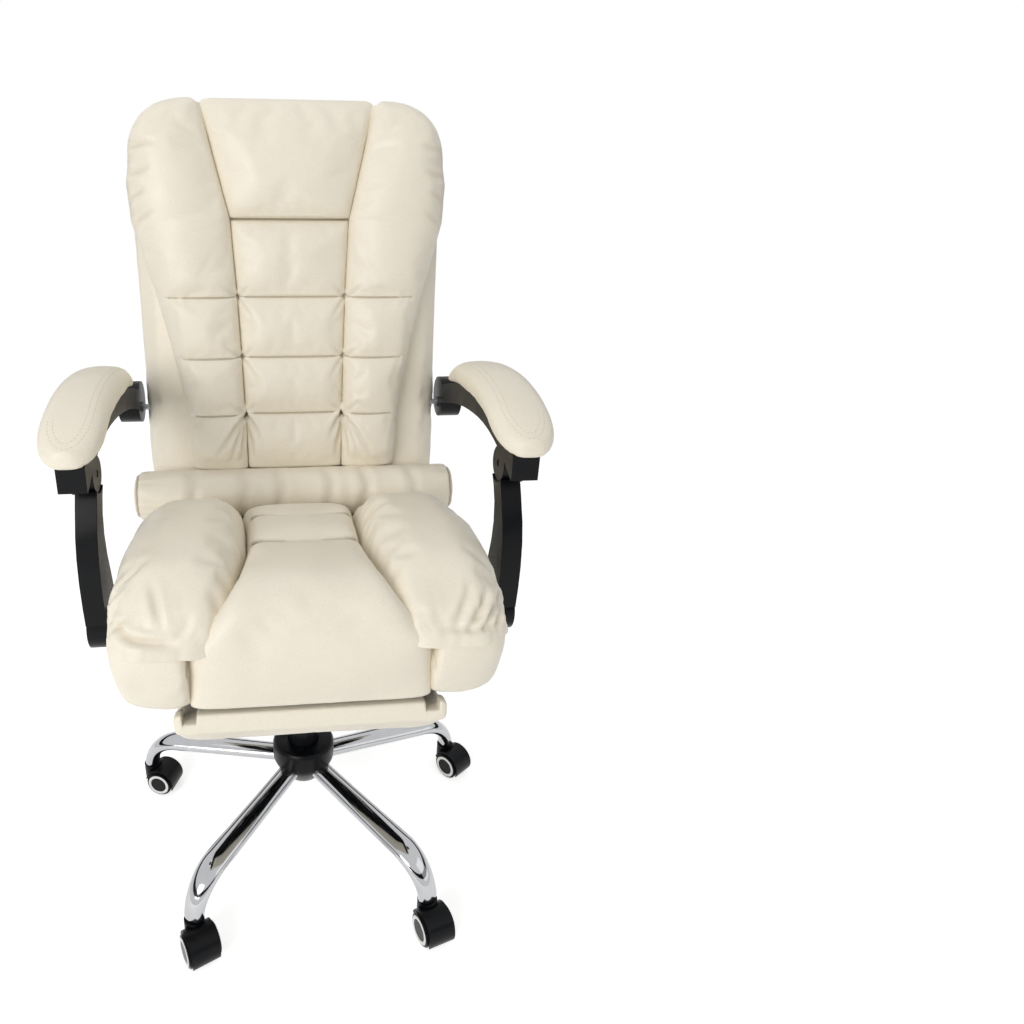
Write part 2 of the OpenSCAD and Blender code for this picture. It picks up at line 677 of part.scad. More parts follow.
// Arms, modelled on the right and mirrored
function arm_bow(y) = arm_peak_z - (y < arm_peak_y ? 0.00157 : 0.00068) * pow(y - arm_peak_y, 2);
module arm_frame() {
    heights = [for (k = [0:16]) blend(arm_front, 262, k / 16)];
    edge = concat([for (y = heights) [y, arm_bow(y) + arm_half]],
        [for (k = [16:-1:0]) [heights[k], arm_bow(heights[k]) - arm_half]]);
    on_column() difference() {
        union() {
            side_plate(frame_in, frame_out) union() {
                polygon(edge);
                translate([arm_rear[0] - 4, arm_rear[1] + 11]) circle(r = paddle_r);
            }
            side_plate(frame_in, eye_in - touch) translate(post_head) circle(r = lug_r);
        }
        cross_pin(post_head, eye_r + 1.5, eye_in - touch, frame_out + 5);
        cross_pin(post_head, bolt_r + run, frame_in - 5, frame_out + 5);
        cross_pin(arm_rear, bolt_r + rear_bolt_play, frame_in - 5, frame_out + 5);
        cross_pin(arm_rear, 11, frame_out - 7, frame_out + 5);
    }
}
module arm_frame_right() { color(black) arm_frame(); }
module arm_frame_left() { color(black) mirror([1, 0, 0]) arm_frame(); }
function pad_plan(y) = let (front = pow(max(0, 1 - pow(max(0, -130 - y) / 52, 2.2)), 0.45))
    blend(arm_pad_w, 31, smooth((y - 20) / 150)) * front * pow(max(0, 1 - pow(max(0, y - 150) / 30, 4)), 0.3);
function arm_pad_ring(y, n) = let (
    w = max(4, pad_plan(y)),
    low = arm_bow(max(y, arm_front)) + arm_half + pad_lift - (y < arm_front ? 3 : 0),
    t = arm_pad_t * pow(max(0.12, 1 - pow(abs(y + 15) / 205, 3.2)), 0.7),
    cx = arm_mid + 5 * smooth((y - 20) / 150))
    [for (j = [0:n - 1]) let (a = 360 * j / n, s = sin(a),
        up = s > 0 ? 0.32 + 0.68 * signed_root(s, 0.8) : 0.32 + 0.32 * signed_root(s, 0.35))
        [cx + w * signed_root(cos(a), 0.72), y, low + t * up]];
module arm_pad() {
    stations = [178, 170, 155, 130, 90, 45, 0, -40, -80, -110, -135, -155, -168, -177, -181];
    on_column() ring_loft([for (y = stations) arm_pad_ring(y, 16)]);
}
module arm_pad_right() { color(leather) arm_pad(); }
module arm_pad_left() { color(leather) mirror([1, 0, 0]) arm_pad(); }
// The post's outline: its front edge, then its rear edge
post_front_edge = [[-134, 686], [-143, 668], [-150, 652], [-159, 632], [-166, 604], [-169, 570], [-168, 535],
    [-165, 505]];
post_rear_edge = [[-102, 505], [-104, 530], [-111, 560], [-119, 590], [-122, 620], [-118, 648], [-108, 670],
    [-98, 684]];
module post_outline() {
    union() {
        polygon(concat(post_front_edge, post_rear_edge));
        translate([-133.5, 491]) circle(r = 32.5);
    }
}
module arm_post() {
    on_column() difference() {
        union() {
            side_plate(post_in, post_out) difference() {
                post_outline();
                translate(post_head) circle(r = lug_r + 2);
            }
            side_plate(eye_in, post_out) intersection() {
                post_outline();
                translate(post_head) circle(r = lug_r + 4);
            }
            side_plate(eye_in, eye_out) translate(post_head) circle(r = eye_r);
        }
        side_plate(post_out - 3, post_out + 1) offset(delta = -7) post_outline();
        cross_pin(post_foot, bolt_r + run, post_in - 5, post_out + 5);
        cross_pin(post_head, bolt_r + press, eye_in - 5, eye_out + 5);
        cross_pin(post_head, 19, eye_out - 2, eye_out + 2);
    }
}
module arm_post_right() { color(black) arm_post(); }
module arm_post_left() { color(black) mirror([1, 0, 0]) arm_post(); }
module post_pin() {
    on_column() {
        cross_pin(post_head, bolt_r, frame_in + 1, eye_out - 1);
        cross_pin(post_head, 18, eye_out - 2 + press, eye_out + 2);
    }
}
module post_pin_right() { color(black) post_pin(); }
module post_pin_left() { color(black) mirror([1, 0, 0]) post_pin(); }

// Footrest, pushed in and turned under
module footrest_rod() {
    color(chrome) on_seat() translate([0, 0, slide_z]) {
        translate([-slide_x + slide_bend, cross_y, 0]) rotate([0, 90, 0])
            cylinder(r = slide_r, h = 2 * (slide_x - slide_bend));
        both_sides() {
            translate([slide_x - slide_bend, cross_y + slide_bend, 0]) rotate([0, 0, -90])
                rotate_extrude(angle = 90) translate([slide_bend, 0]) circle(r = slide_r);
            translate([slide_x, cross_y + slide_bend, 0]) rotate([-90, 0, 0])
                cylinder(r = slide_r, h = slide_end - cross_y - slide_bend);
        }
    }
}
module footrest_clips() {
    color(black) on_seat() both_sides() for (x = clip_x) translate([x - 8, cross_y, slide_z]) difference() {
        union() {
            rotate([0, 90, 0]) cylinder(r = slide_r + 2.6, h = 16);
            translate([0, -9, -foot_gap]) cube([16, 18, 8]);
            translate([0, -20, -foot_gap]) cube([16, 40, 2.5]);
        }
        translate([-1, 0, 0]) rotate([0, 90, 0]) cylinder(r = slide_r + run, h = 18);
    }
}
module footrest_board() {
    inset = 14;
    color(plywood) on_seat() translate([-foot_w + inset, cross_y - foot_ahead + inset, foot_top - foot_board_t])
        cube([2 * (foot_w - inset), foot_l - 2 * inset, foot_board_t - touch / 4]);
}
function foot_ring(inset, z, n) = box_ring(z, foot_w - inset, cross_y - foot_ahead + inset,
    cross_y - foot_ahead + foot_l - inset, n);
module footrest_pad() {
    inset = 13.6;
    color(leather) on_seat() difference() {
        ring_loft([
            foot_ring(30, foot_top - foot_t, 28),
            foot_ring(13, foot_top - foot_t + 3, 28),
            foot_ring(5, foot_top - foot_t + 9, 28),
            foot_ring(0, foot_top - foot_t + 21, 28),
            foot_ring(1, foot_top - 15, 28),
            foot_ring(4, foot_top - 5, 28),
            foot_ring(9, foot_top - 0.5, 28)]);
        translate([-foot_w + inset, cross_y - foot_ahead + inset, foot_top - foot_board_t - touch])
            cube([2 * (foot_w - inset), foot_l - 2 * inset, foot_board_t + 5]);
    }
}

star_base();
hub_cover();
gas_cylinder();
piston_rod();
seat_plate();
plate_bolts();
seat_board();
seat_cushion();
seat_pillow_left();
seat_pillow_right();
seat_pad();
footrest_rails();
hinge_brackets();
hinge_pins();
arm_bolts();
height_lever();
height_grip();
recline_lever();
back_board();
back_hinge_plates();
back_shell();
headrest();
back_panel();
back_side_left();
back_side_right();
lumbar_roll();
back_bolts();
arm_post_left();
arm_post_right();
post_pin_left();
post_pin_right();
arm_frame_left();
arm_frame_right();
arm_pad_left();
arm_pad_right();
footrest_rod();
footrest_clips();
footrest_board();
footrest_pad();
for (i = [1:legs]) {
    caster_hood(i);
    caster_pins(i);
    caster_wheels(i);
    caster_rings(i);
}
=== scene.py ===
"""Looks of a reclining office chair with a pull-out footrest, laid out as an add-on."""
import json
import math

import bmesh
import bpy
import numpy as np
from bpy.props import FloatProperty, PointerProperty, StringProperty
from mathutils import Matrix, Vector, noise


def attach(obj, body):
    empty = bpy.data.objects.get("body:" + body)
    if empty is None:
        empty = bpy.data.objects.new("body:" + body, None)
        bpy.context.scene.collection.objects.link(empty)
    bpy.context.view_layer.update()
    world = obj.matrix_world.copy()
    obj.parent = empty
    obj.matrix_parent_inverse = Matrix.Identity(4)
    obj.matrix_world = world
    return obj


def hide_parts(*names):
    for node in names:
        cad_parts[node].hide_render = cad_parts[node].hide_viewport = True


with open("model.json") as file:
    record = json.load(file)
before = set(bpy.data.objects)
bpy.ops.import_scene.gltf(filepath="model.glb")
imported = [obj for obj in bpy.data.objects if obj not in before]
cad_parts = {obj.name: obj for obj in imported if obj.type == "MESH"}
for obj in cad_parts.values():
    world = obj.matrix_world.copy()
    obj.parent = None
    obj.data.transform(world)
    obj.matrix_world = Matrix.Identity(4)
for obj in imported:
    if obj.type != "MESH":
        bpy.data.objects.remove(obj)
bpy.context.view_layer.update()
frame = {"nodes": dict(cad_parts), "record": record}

bl_info = {
    "name": "Reclining Office Chair",
    "version": (1, 0, 0),
    "blender": (4, 5, 0),
    "location": "View3D > Sidebar > Chair",
    "description": "Upholstery, mouldings, chrome and studio of a reclining office chair",
    "category": "Object",
}

MM = 0.001
COLUMN = -14            # the gas column's place along y, in millimetres
COLUMN_Y = COLUMN * MM
SEAT_SLOPE = math.radians(6)
SEAT_Y = -50            # where the seat's own frame starts, from the column
SEAT_Z = 438


# Measures and small helpers

def ease(t):
    """0 to 1 with a gentle start and end."""
    c = np.clip(t, 0, 1)
    return c * c * (3 - 2 * c)


def between(a, b, t):
    return a + (b - a) * t


def valley(d, w):
    """1 on a line, fading to 0 a width w away from it."""
    return np.exp(-(d / w) ** 2)


def table(z, pairs):
    """Reads a list of (place, value) pairs at z."""
    return np.interp(z, [p[0] for p in pairs], [p[1] for p in pairs])


def spline(points, count):
    """A smooth path of count points through a few chosen ones."""
    p = np.array(points, float)
    p = np.vstack([2 * p[0] - p[1], p, 2 * p[-1] - p[-2]])
    out = []
    for t in np.linspace(0, len(points) - 1, count):
        i = min(int(t), len(points) - 2)
        u = t - i
        a, b, c, d = p[i:i + 4]
        out.append(0.5 * (2 * b + (c - a) * u + (2 * a - 5 * b + 4 * c - d) * u * u
                          + (3 * b - a - 3 * c + d) * u ** 3))
    return np.array(out)


def seat_place(x, y, z):
    """A place in the seat's sloped frame, in millimetres, as a place in the chair's frame."""
    return Vector((x * MM, COLUMN_Y + (SEAT_Y + y * math.cos(SEAT_SLOPE) + z * math.sin(SEAT_SLOPE)) * MM,
                   (SEAT_Z - y * math.sin(SEAT_SLOPE) + z * math.cos(SEAT_SLOPE)) * MM))


def seat_spot(x, y, z):
    """The same in millimetres, for covers that are drawn in millimetres."""
    return tuple(c / MM for c in seat_place(x, y, z))


def squared(value, power):
    """A sine or cosine pushed outwards, so that a circle turns into a rounded box."""
    return math.copysign(abs(value) ** power, value)


def pad_half(y):
    """Half width of the seat's middle pad at a station of its length."""
    return table(y, ((-286, 141), (-282, 127), (-274, 115), (-259, 105), (-238, 96), (-215, 90), (-180, 85.5),
                     (-150, 82), (-100, 79.5), (-60, 81), (0, 83), (60, 87), (100, 90), (151, 94)))


def pad_bend(turn):
    """Half width of the middle pad round its front bend, by the turn in degrees."""
    return 90 + 41 * (turn / 90) ** 1.35


def pillow_side(y):
    """How far out a thigh pillow's outer edge lies."""
    return between(236, 250, ease((170 - y) / 260)) - 5 * ease((-190 - y) / 100)


# Making and finishing pieces

def clear_selection():
    if bpy.context.object and bpy.context.object.mode != "OBJECT":
        bpy.ops.object.mode_set(mode="OBJECT")
    bpy.ops.object.select_all(action="DESELECT")


def pick(piece):
    clear_selection()
    piece.select_set(True)
    bpy.context.view_layer.objects.active = piece
    return piece


def settle(piece):
    """Writes the piece's place into its mesh."""
    pick(piece)
    bpy.ops.object.transform_apply(location=True, rotation=True, scale=True)
    return piece


def smooth_faces(piece):
    for face in piece.data.polygons:
        face.use_smooth = True


def smooth_by_angle(piece, degrees):
    pick(piece)
    bpy.ops.object.shade_smooth_by_angle(angle=math.radians(degrees))


def grow_from_faces():
    """Edit mode with all faces chosen, ready to be drawn out."""
    bpy.ops.object.mode_set(mode="EDIT")
    bpy.ops.mesh.select_mode(type="FACE")
    bpy.ops.mesh.select_all(action="SELECT")


def cut_away(piece, tool):
    apply_modifier(piece, "BOOLEAN", object=tool, operation="DIFFERENCE", solver="EXACT")
    bpy.data.objects.remove(tool)


def divide(piece):
    return apply_modifier(piece, "SUBSURF", levels=1, render_levels=1)


def apply_modifier(piece, kind, **settings):
    pick(piece)
    added = piece.modifiers.new(kind.title(), kind)
    for key, value in settings.items():
        setattr(added, key, value)
    bpy.ops.object.modifier_apply(modifier=added.name)
    return piece


def skin(name, spots, faces):
    """A new mesh piece from places and faces."""
    mesh = bpy.data.meshes.new(name)
    mesh.from_pydata([tuple(s) for s in spots], [], faces)
    mesh.update()
    piece = bpy.data.objects.new(name, mesh)
    bpy.context.scene.collection.objects.link(piece)
    return piece


def outward(piece):
    """Makes all faces of a closed piece point outwards."""
    shape = bmesh.new()
    shape.from_mesh(piece.data)
    bmesh.ops.remove_doubles(shape, verts=shape.verts, dist=0.00002)
    bmesh.ops.recalc_face_normals(shape, faces=shape.faces)
    if shape.calc_volume(signed=True) < 0:
        bmesh.ops.reverse_faces(shape, faces=shape.faces)
    shape.to_mesh(piece.data)
    shape.free()
    smooth_faces(piece)
    return piece


def loft(name, rings):
    """A closed piece over rings of equal count."""
    m, n = len(rings), len(rings[0])
    spots = [tuple(p) for ring in rings for p in ring]
    faces = [(i * n + j, i * n + (j + 1) % n, (i + 1) * n + (j + 1) % n, (i + 1) * n + j)
             for i in range(m - 1) for j in range(n)]
    faces.append(tuple(range(n)))
    faces.append(tuple((m - 1) * n + j for j in reversed(range(n))))
    return outward(skin(name, spots, faces))


def two_sided(name, front, back, hold):
    """A closed cover between a front and a back grid of places, in millimetres of the chair's frame."""
    m, n = front.shape[:2]
    spots = np.concatenate([front.reshape(-1, 3), back.reshape(-1, 3)]) * MM
    faces = []
    for i in range(m - 1):
        for j in range(n - 1):
            a = i * n + j
            faces.append((a, a + 1, a + n + 1, a + n))
            b = a + m * n
            faces.append((b, b + n, b + n + 1, b + 1))
    rim = ([(0, j) for j in range(n)] + [(i, n - 1) for i in range(1, m)]
           + [(m - 1, j) for j in range(n - 2, -1, -1)] + [(i, 0) for i in range(m - 2, 0, -1)])
    flat = [i * n + j for i, j in rim]
    for a, b in zip(flat, flat[1:] + flat[:1]):
        faces.append((a, a + m * n, b + m * n, b))
    piece = skin(name, spots, faces)
    layer = piece.data.attributes.new("hold", "FLOAT", "POINT")
    layer.data.foreach_set("value", np.concatenate([hold.ravel(), np.ones(m * n)]).astype(np.float32))
    return outward(piece)


def hold_of(piece):
    layer = piece.data.attributes["hold"]
    value = np.empty(len(layer.data), np.float32)
    layer.data.foreach_get("value", value)
    piece.data.attributes.remove(layer)
    return np.clip(value, 0, 1)


def solid_copy(node, name):
    """A copy of a solid of the frame, as a new piece with joined corners."""
    piece = frame["nodes"][node].copy()
    piece.data = piece.data.copy()
    piece.name = name
    piece.data.name = name
    piece.parent = None
    for key in list(piece.keys()):
        if key.startswith("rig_"):
            del piece[key]
    bpy.context.scene.collection.objects.link(piece)
    if piece.data.attributes.get("custom_normal"):
        piece.data.attributes.remove(piece.data.attributes["custom_normal"])
    return outward(piece)


def places(piece):
    co = np.empty(len(piece.data.vertices) * 3)
    piece.data.vertices.foreach_get("co", co)
    return co.reshape(-1, 3)


def normals(piece):
    no = np.empty(len(piece.data.vertices) * 3)
    piece.data.vertex_normals.foreach_get("vector", no)
    return no.reshape(-1, 3)


def put_places(piece, co):
    piece.data.vertices.foreach_set("co", co.ravel())
    piece.data.update()


def swell(piece, held=None, pressure=4.0, looseness=0.0, cap=0.022, steps=20, stiffness=12.0):
    """Fills the cover like a stuffed cushion.

    held is each corner's hold from 0 to 1, cap the most that a corner moves.
    """
    rest = places(piece)
    cloth = piece.modifiers.new("cover", "CLOTH")
    feel = cloth.settings
    feel.quality = 4
    feel.mass = 0.25
    feel.tension_stiffness = stiffness
    feel.compression_stiffness = stiffness
    feel.shear_stiffness = stiffness / 2
    feel.bending_stiffness = 0.4
    feel.air_damping = 2
    feel.use_pressure = True
    feel.uniform_pressure_force = pressure
    feel.shrink_min = -looseness
    feel.effector_weights.gravity = 0
    cloth.collision_settings.use_collision = False
    if held is not None:
        group = piece.vertex_groups.new(name="held")
        for step in range(1, 11):
            chosen = np.nonzero(np.round(held * 10).astype(int) == step)[0]
            if len(chosen):
                group.add([int(i) for i in chosen], step / 10, "REPLACE")
        feel.vertex_group_mass = group.name
        feel.pin_stiffness = 20
    cloth.point_cache.frame_start = 1
    cloth.point_cache.frame_end = steps
    for step in range(1, steps + 1):
        bpy.context.scene.frame_set(step)
    filled = piece.evaluated_get(bpy.context.evaluated_depsgraph_get())
    co = np.empty(len(filled.data.vertices) * 3)
    filled.data.vertices.foreach_get("co", co)
    move = co.reshape(-1, 3) - rest
    far = np.linalg.norm(move, axis=1, keepdims=True)
    move = move * np.minimum(1, cap / np.maximum(far, 1e-9))
    piece.modifiers.remove(cloth)
    piece.vertex_groups.clear()
    bpy.context.scene.frame_set(1)
    put_places(piece, rest + np.nan_to_num(move))
    return piece


def iron(piece, rounds=4, factor=0.5):
    """Smooths the piece without moving its ends far."""
    return apply_modifier(piece, "SMOOTH", iterations=rounds, factor=factor)


def line_gap(co, line):
    """Each corner's distance to a line of points, and how far along the line that is, from 0 to 1."""
    line = np.array(line, float)
    best = np.full(len(co), 1e9)
    along = np.zeros(len(co))
    lengths = np.linalg.norm(np.diff(line, axis=0), axis=1)
    whole = max(lengths.sum(), 1e-9)
    start = 0.0
    for a, b, length in zip(line[:-1], line[1:], lengths):
        run = b - a
        t = np.clip(((co - a) @ run) / max(run @ run, 1e-12), 0, 1)
        gap = np.linalg.norm(co - (a + t[:, None] * run), axis=1)
        near = gap < best
        best[near] = gap[near]
        along[near] = ((start + t * length) / whole)[near]
        start += length
    return best, along


def paint_crease_shade(piece, shade_amount):
    """Keeps how deep in a crease each corner lies, as painted shade: the material darkens the leather there by
    it.
    """
    layer = piece.data.attributes.get("crease_shade") or piece.data.attributes.new("crease_shade", "FLOAT", "POINT")
    old = np.empty(len(piece.data.vertices), np.float32)
    layer.data.foreach_get("value", old)
    layer.data.foreach_set("value", np.clip(np.maximum(old, shade_amount), 0, 1).astype(np.float32))


def carve(piece, lines, width, depth, lip=0.25, shade=0.9):
    """Sinks each line into the cover as a seam, with a soft lip on both sides, and paints shade along it. shade
    is how dark the painted shade gets.
    """
    co, no = places(piece), normals(piece)
    push, deep = np.zeros(len(co)), np.zeros(len(co))
    for line in lines:
        gap, _ = line_gap(co, line)
        push = np.maximum(push, valley(gap, width) - lip * valley(gap - 2.2 * width, width * 1.2))
        deep = np.maximum(deep, valley(gap, width))
    put_places(piece, co - no * (push * depth)[:, None])
    paint_crease_shade(piece, deep * shade)
    return piece


def fold(piece, folds):
    """Presses soft folds: each is (line, width, depth), deepest in its middle and fading at both ends."""
    co, no = places(piece), normals(piece)
    push, deep = np.zeros(len(co)), np.zeros(len(co))
    for line, width, depth in folds:
        gap, along = line_gap(co, line)
        fade = np.sin(np.pi * np.clip(0.12 + along * 0.88, 0, 1)) ** 0.8
        push += depth * fade * (valley(gap, width) - 0.45 * valley(gap - 1.9 * width, width))
        deep = np.maximum(deep, fade * valley(gap, width) * 0.16)
    put_places(piece, co - no * push[:, None])
    # painted shade: the folds' valleys are darkened, most in their middle
    paint_crease_shade(piece, deep)
    return piece


def ripple(piece, where, size, depth, turn=(1, 1, 1), seed=0.0):
    """Small uneven wrinkles where the mask asks for them. size is their length, turn stretches them."""
    co, no = places(piece), normals(piece)
    stretch = np.array(turn) / size
    push = np.array([noise.noise(Vector(p * stretch) + Vector((seed, seed, seed))) if w > 0.02 else 0.0
                     for p, w in zip(co, where)])
    push = -np.abs(push) + 0.25
    put_places(piece, co + no * (push * depth * where)[:, None])
    # painted shade: the wrinkles' hollows are darkened
    paint_crease_shade(piece, np.clip(-push * where * 0.25, 0, 1))
    return piece


def cover(node, name, voxel=0.0045, rounds=1):
    """The solid's form as an even, rounded cover, ready to be filled."""
    piece = solid_copy(node, name)
    if rounds:
        apply_modifier(piece, "SUBSURF", levels=rounds, render_levels=rounds)
    return apply_modifier(piece, "REMESH", mode="VOXEL", voxel_size=voxel, use_smooth_shade=True)


def along(line, pitch):
    """Even steps along a line of points: the middle of each step and its direction."""
    line = np.array(line, float)
    lengths = np.concatenate([[0], np.cumsum(np.linalg.norm(np.diff(line, axis=0), axis=1))])
    marks = np.arange(pitch, lengths[-1] - pitch, pitch)
    mids = np.stack([np.interp(marks, lengths, line[:, k]) for k in range(3)], 1)
    ahead = np.stack([np.interp(marks + pitch / 3, lengths, line[:, k]) for k in range(3)], 1)
    return mids, ahead - mids


def stitch_rows(name, piece, body, rows, length):
    """Rows of thread laid on a finished cover. One stitch is modelled and copied along every row."""
    clear_selection()
    bpy.ops.mesh.primitive_uv_sphere_add(segments=6, ring_count=5, radius=1, location=(0, 0, 0))
    one = bpy.context.object
    one.scale = (length * 0.46, 0.00042, 0.00042)
    settle(one)
    shape = places(one)
    sides = [tuple(face.vertices) for face in one.data.polygons]
    bpy.data.objects.remove(one)
    spots, faces = [], []
    for row in rows:
        for mid, ahead in zip(*along(row, length * 1.35)):
            found, spot, up, _ = piece.closest_point_on_mesh(Vector(mid))
            if not found or (spot - Vector(mid)).length > 0.02:
                continue
            run = Vector(ahead) - Vector(ahead).project(up)
            if run.length < 1e-6:
                continue
            run.normalize()
            turn = np.array(Matrix((run, up.cross(run), up)).transposed())
            faces.extend(tuple(k + len(spots) for k in side) for side in sides)
            spots.extend(shape @ turn.T + np.array(spot + up * 0.00005))
    thread = skin(name, spots, faces)
    smooth_faces(thread)
    return finish_hard(thread, body, "sewing_thread", "cream_leather")


def beside(line, gap):
    """The same line moved sideways, in the x and z plane."""
    p = np.array(line, float)
    run = np.gradient(p, axis=0)
    off = np.stack([run[:, 2], np.zeros(len(p)), -run[:, 0]], 1)
    return p + gap * off / np.maximum(np.linalg.norm(off, axis=1, keepdims=True), 1e-9)


def finish_soft(piece, body, fill, *nodes, levels=1):
    """A padded piece takes its leather, its body and the nodes that it stands for."""
    if levels:
        apply_modifier(piece, "SUBSURF", levels=levels, render_levels=levels)
    smooth_faces(piece)
    dress(piece, "pu_leather")
    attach(piece, body)
    if nodes:
        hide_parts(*nodes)
    return piece


def finish_hard(piece, body, finish, slot, *nodes):
    dress(piece, finish)
    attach(piece, body)
    if nodes:
        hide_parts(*nodes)
    return piece


def dress(piece, finish):
    piece.data.materials.clear()
    piece.data.materials.append(bpy.data.materials[finish])


def soften_node(node, finish, width=0.0010):
    """A solid of the frame keeps its shape and gets its finish and small rounded edges."""
    piece = frame["nodes"][node]
    for slot in piece.material_slots:
        slot.link = "OBJECT"
        slot.material = bpy.data.materials[finish]
    if width:
        weld = piece.modifiers.new("Joined corners", "WELD")
        weld.merge_threshold = 0.00002
        edge = piece.modifiers.new("Rounded edges", "BEVEL")
        edge.width = width
        edge.segments = 2
        edge.limit_method = "ANGLE"
        edge.angle_limit = math.radians(38)
        edge.use_clamp_overlap = True
        shade = piece.modifiers.new("Even shading", "WEIGHTED_NORMAL")
        shade.keep_sharp = True
    return piece


def refine(node, name, body, finish, slot, width=0.0012, segments=3):
    """A moulding keeps its form: a joined copy with rounded edges stands for the solid."""
    piece = solid_copy(node, name)
    apply_modifier(piece, "BEVEL", width=width, segments=segments, limit_method="ANGLE",
                   angle_limit=math.radians(38), use_clamp_overlap=True)
    smooth_by_angle(piece, 35)
    return finish_hard(piece, body, finish, slot, node)


# Materials

def linear(hex_code):
    """An sRGB hex colour as linear RGBA."""
    parts = [int(hex_code[i:i + 2], 16) / 255 for i in (1, 3, 5)]
    return tuple(c / 12.92 if c <= 0.04045 else ((c + 0.055) / 1.055) ** 2.4 for c in parts) + (1.0,)


def add(finish, kind, feeds=None, **settings):
    """Adds one node to a finish. feeds holds a value or a linked socket for each input."""
    made = finish.node_tree.nodes.new(kind)
    for key, value in settings.items():
        setattr(made, key, value)
    for key, value in (feeds or {}).items():
        if isinstance(value, bpy.types.NodeSocket):
            finish.node_tree.links.new(value, made.inputs[key])
        else:
            made.inputs[key].default_value = value
    return made


def new_finish(name):
    """An empty finish, and the object's own coordinates for its textures."""
    finish = bpy.data.materials.new(name)
    finish.use_nodes = True
    finish.node_tree.nodes.clear()
    return finish, add(finish, "ShaderNodeTexCoord").outputs["Object"]


def blend(finish, share, low, high):
    feeds = {0: share, 6: low, 7: high}
    return add(finish, "ShaderNodeMix", feeds, data_type="RGBA").outputs[2]


def span(finish, value, low, high, to_low, to_high):
    """A value between low and high, spread from to_low to to_high."""
    feeds = {"Value": value, "From Min": low, "From Max": high, "To Min": to_low, "To Max": to_high}
    return add(finish, "ShaderNodeMapRange", feeds).outputs[0]


def bump(finish, height, strength, distance, **more):
    feeds = {"Height": height, "Strength": strength, "Distance": distance, **more}
    return add(finish, "ShaderNodeBump", feeds).outputs[0]


def seen_directly(finish):
    """1 for the camera, reflections and what shows through glass, 0 for the light that falls on things."""
    ray = add(finish, "ShaderNodeLightPath").outputs
    direct = add(finish, "ShaderNodeMath", {0: ray["Is Camera Ray"], 1: ray["Is Glossy Ray"]},
                 operation="MAXIMUM")
    direct = add(finish, "ShaderNodeMath", {0: direct.outputs[0], 1: ray["Is Transmission Ray"]},
                 operation="MAXIMUM")
    return direct.outputs[0]


def output(finish, surface):
    add(finish, "ShaderNodeOutputMaterial", {"Surface": surface})
    return finish


def shaded(finish, feeds):
    return output(finish, add(finish, "ShaderNodeBsdfPrincipled", feeds).outputs[0])


def leather_finish(p):
    """Polyurethane leather: a cream coating on cloth, embossed with a fine pebble grain."""
    f, at = new_finish("pu_leather")
    # the grain is about 0.8 mm across; it is drawn at 1.7 mm so that it shows
    warp = add(f, "ShaderNodeTexNoise", {"Vector": at, "Scale": 240.0, "Detail": 2.0})
    bent = add(f, "ShaderNodeVectorMath", {0: warp.outputs["Color"], 1: (0.0012, 0.0012, 0.0012), 2: at},
               operation="MULTIPLY_ADD")
    pebble = add(f, "ShaderNodeTexVoronoi", {"Vector": bent.outputs[0], "Scale": 1 / (p.grain * MM)},
                 feature="SMOOTH_F1").outputs["Distance"]
    # broad, slightly uneven tone of a coating over foam, in patches of about 90 mm
    patch = add(f, "ShaderNodeTexNoise", {"Vector": at, "Scale": 11.0, "Detail": 3.0, "Roughness": 0.5})
    # creases of the coating a few millimetres long, lying all ways
    creases = add(f, "ShaderNodeTexNoise", {"Vector": at, "Scale": 95.0, "Detail": 4.0, "Roughness": 0.62,
                                            "Distortion": 0.6}).outputs["Fac"]
    # painted shade in seams, folds and wrinkles, by the crease shade that the cover's mesh carries
    deep = add(f, "ShaderNodeAttribute", attribute_name="crease_shade")
    crease_shade = linear(p.leather_grain_and_shade)
    tone = blend(f, patch.outputs["Fac"], linear(p.leather_shade), linear(p.leather))
    # the pebble grain's own grooves take up to a tenth of the same dark colour
    tone = blend(f, span(f, pebble, 0.0, 0.8, 0.0, 0.10), tone, crease_shade)
    # painted shade: seams, folds and wrinkles are darkened towards the crease colour
    tone = blend(f, deep.outputs["Fac"], tone, crease_shade)
    rough = span(f, creases, 0.3, 0.7, p.leather_rough - 0.05, p.leather_rough + 0.07)
    pebbled = add(f, "ShaderNodeBump", {"Height": pebble, "Strength": 0.16, "Distance": 0.0006}, invert=True)
    relief = bump(f, creases, 0.10, 0.0016, Normal=pebbled.outputs[0])
    return shaded(f, {"Base Color": tone, "Roughness": rough, "IOR": 1.5, "Normal": relief,
                      "Sheen Weight": 0.06, "Sheen Roughness": 0.4})


def thread_finish():
    """Bonded polyester sewing thread, twisted, a shade darker than the leather."""
    f, at = new_finish("sewing_thread")
    # two-ply twist about 1.2 mm long
    twist = add(f, "ShaderNodeTexWave", {"Vector": at, "Scale": 260.0, "Distortion": 0.5},
                bands_direction="DIAGONAL")
    tone = blend(f, twist.outputs["Fac"], linear("#C8BEA9"), linear("#E6DECD"))
    return shaded(f, {"Base Color": tone, "Roughness": 0.6, "Sheen Weight": 0.2})


def plastic_finish(name, shade, bright, rough, grit, relief_depth):
    """Injection moulded plastic: a spark-eroded mould leaves a fine even grit, handling leaves faint smears."""
    f, at = new_finish(name)
    # mould grit of about 0.3 mm, drawn at grit millimetres so that it shows
    fine = add(f, "ShaderNodeTexNoise", {"Vector": at, "Scale": 1 / (grit * MM), "Detail": 2.0,
                                         "Roughness": 0.6})
    # smears and flow marks about 60 mm long
    smear = add(f, "ShaderNodeTexNoise", {"Vector": at, "Scale": 16.0, "Detail": 4.0,
                                          "Distortion": 0.7}).outputs["Fac"]
    return shaded(f, {"Base Color": blend(f, smear, linear(shade), linear(bright)),
                      "Roughness": span(f, smear, 0.3, 0.7, rough - 0.04, rough + 0.05), "IOR": 1.5,
                      "Normal": bump(f, fine.outputs["Fac"], relief_depth, 0.0004), "Specular IOR Level": 0.15})


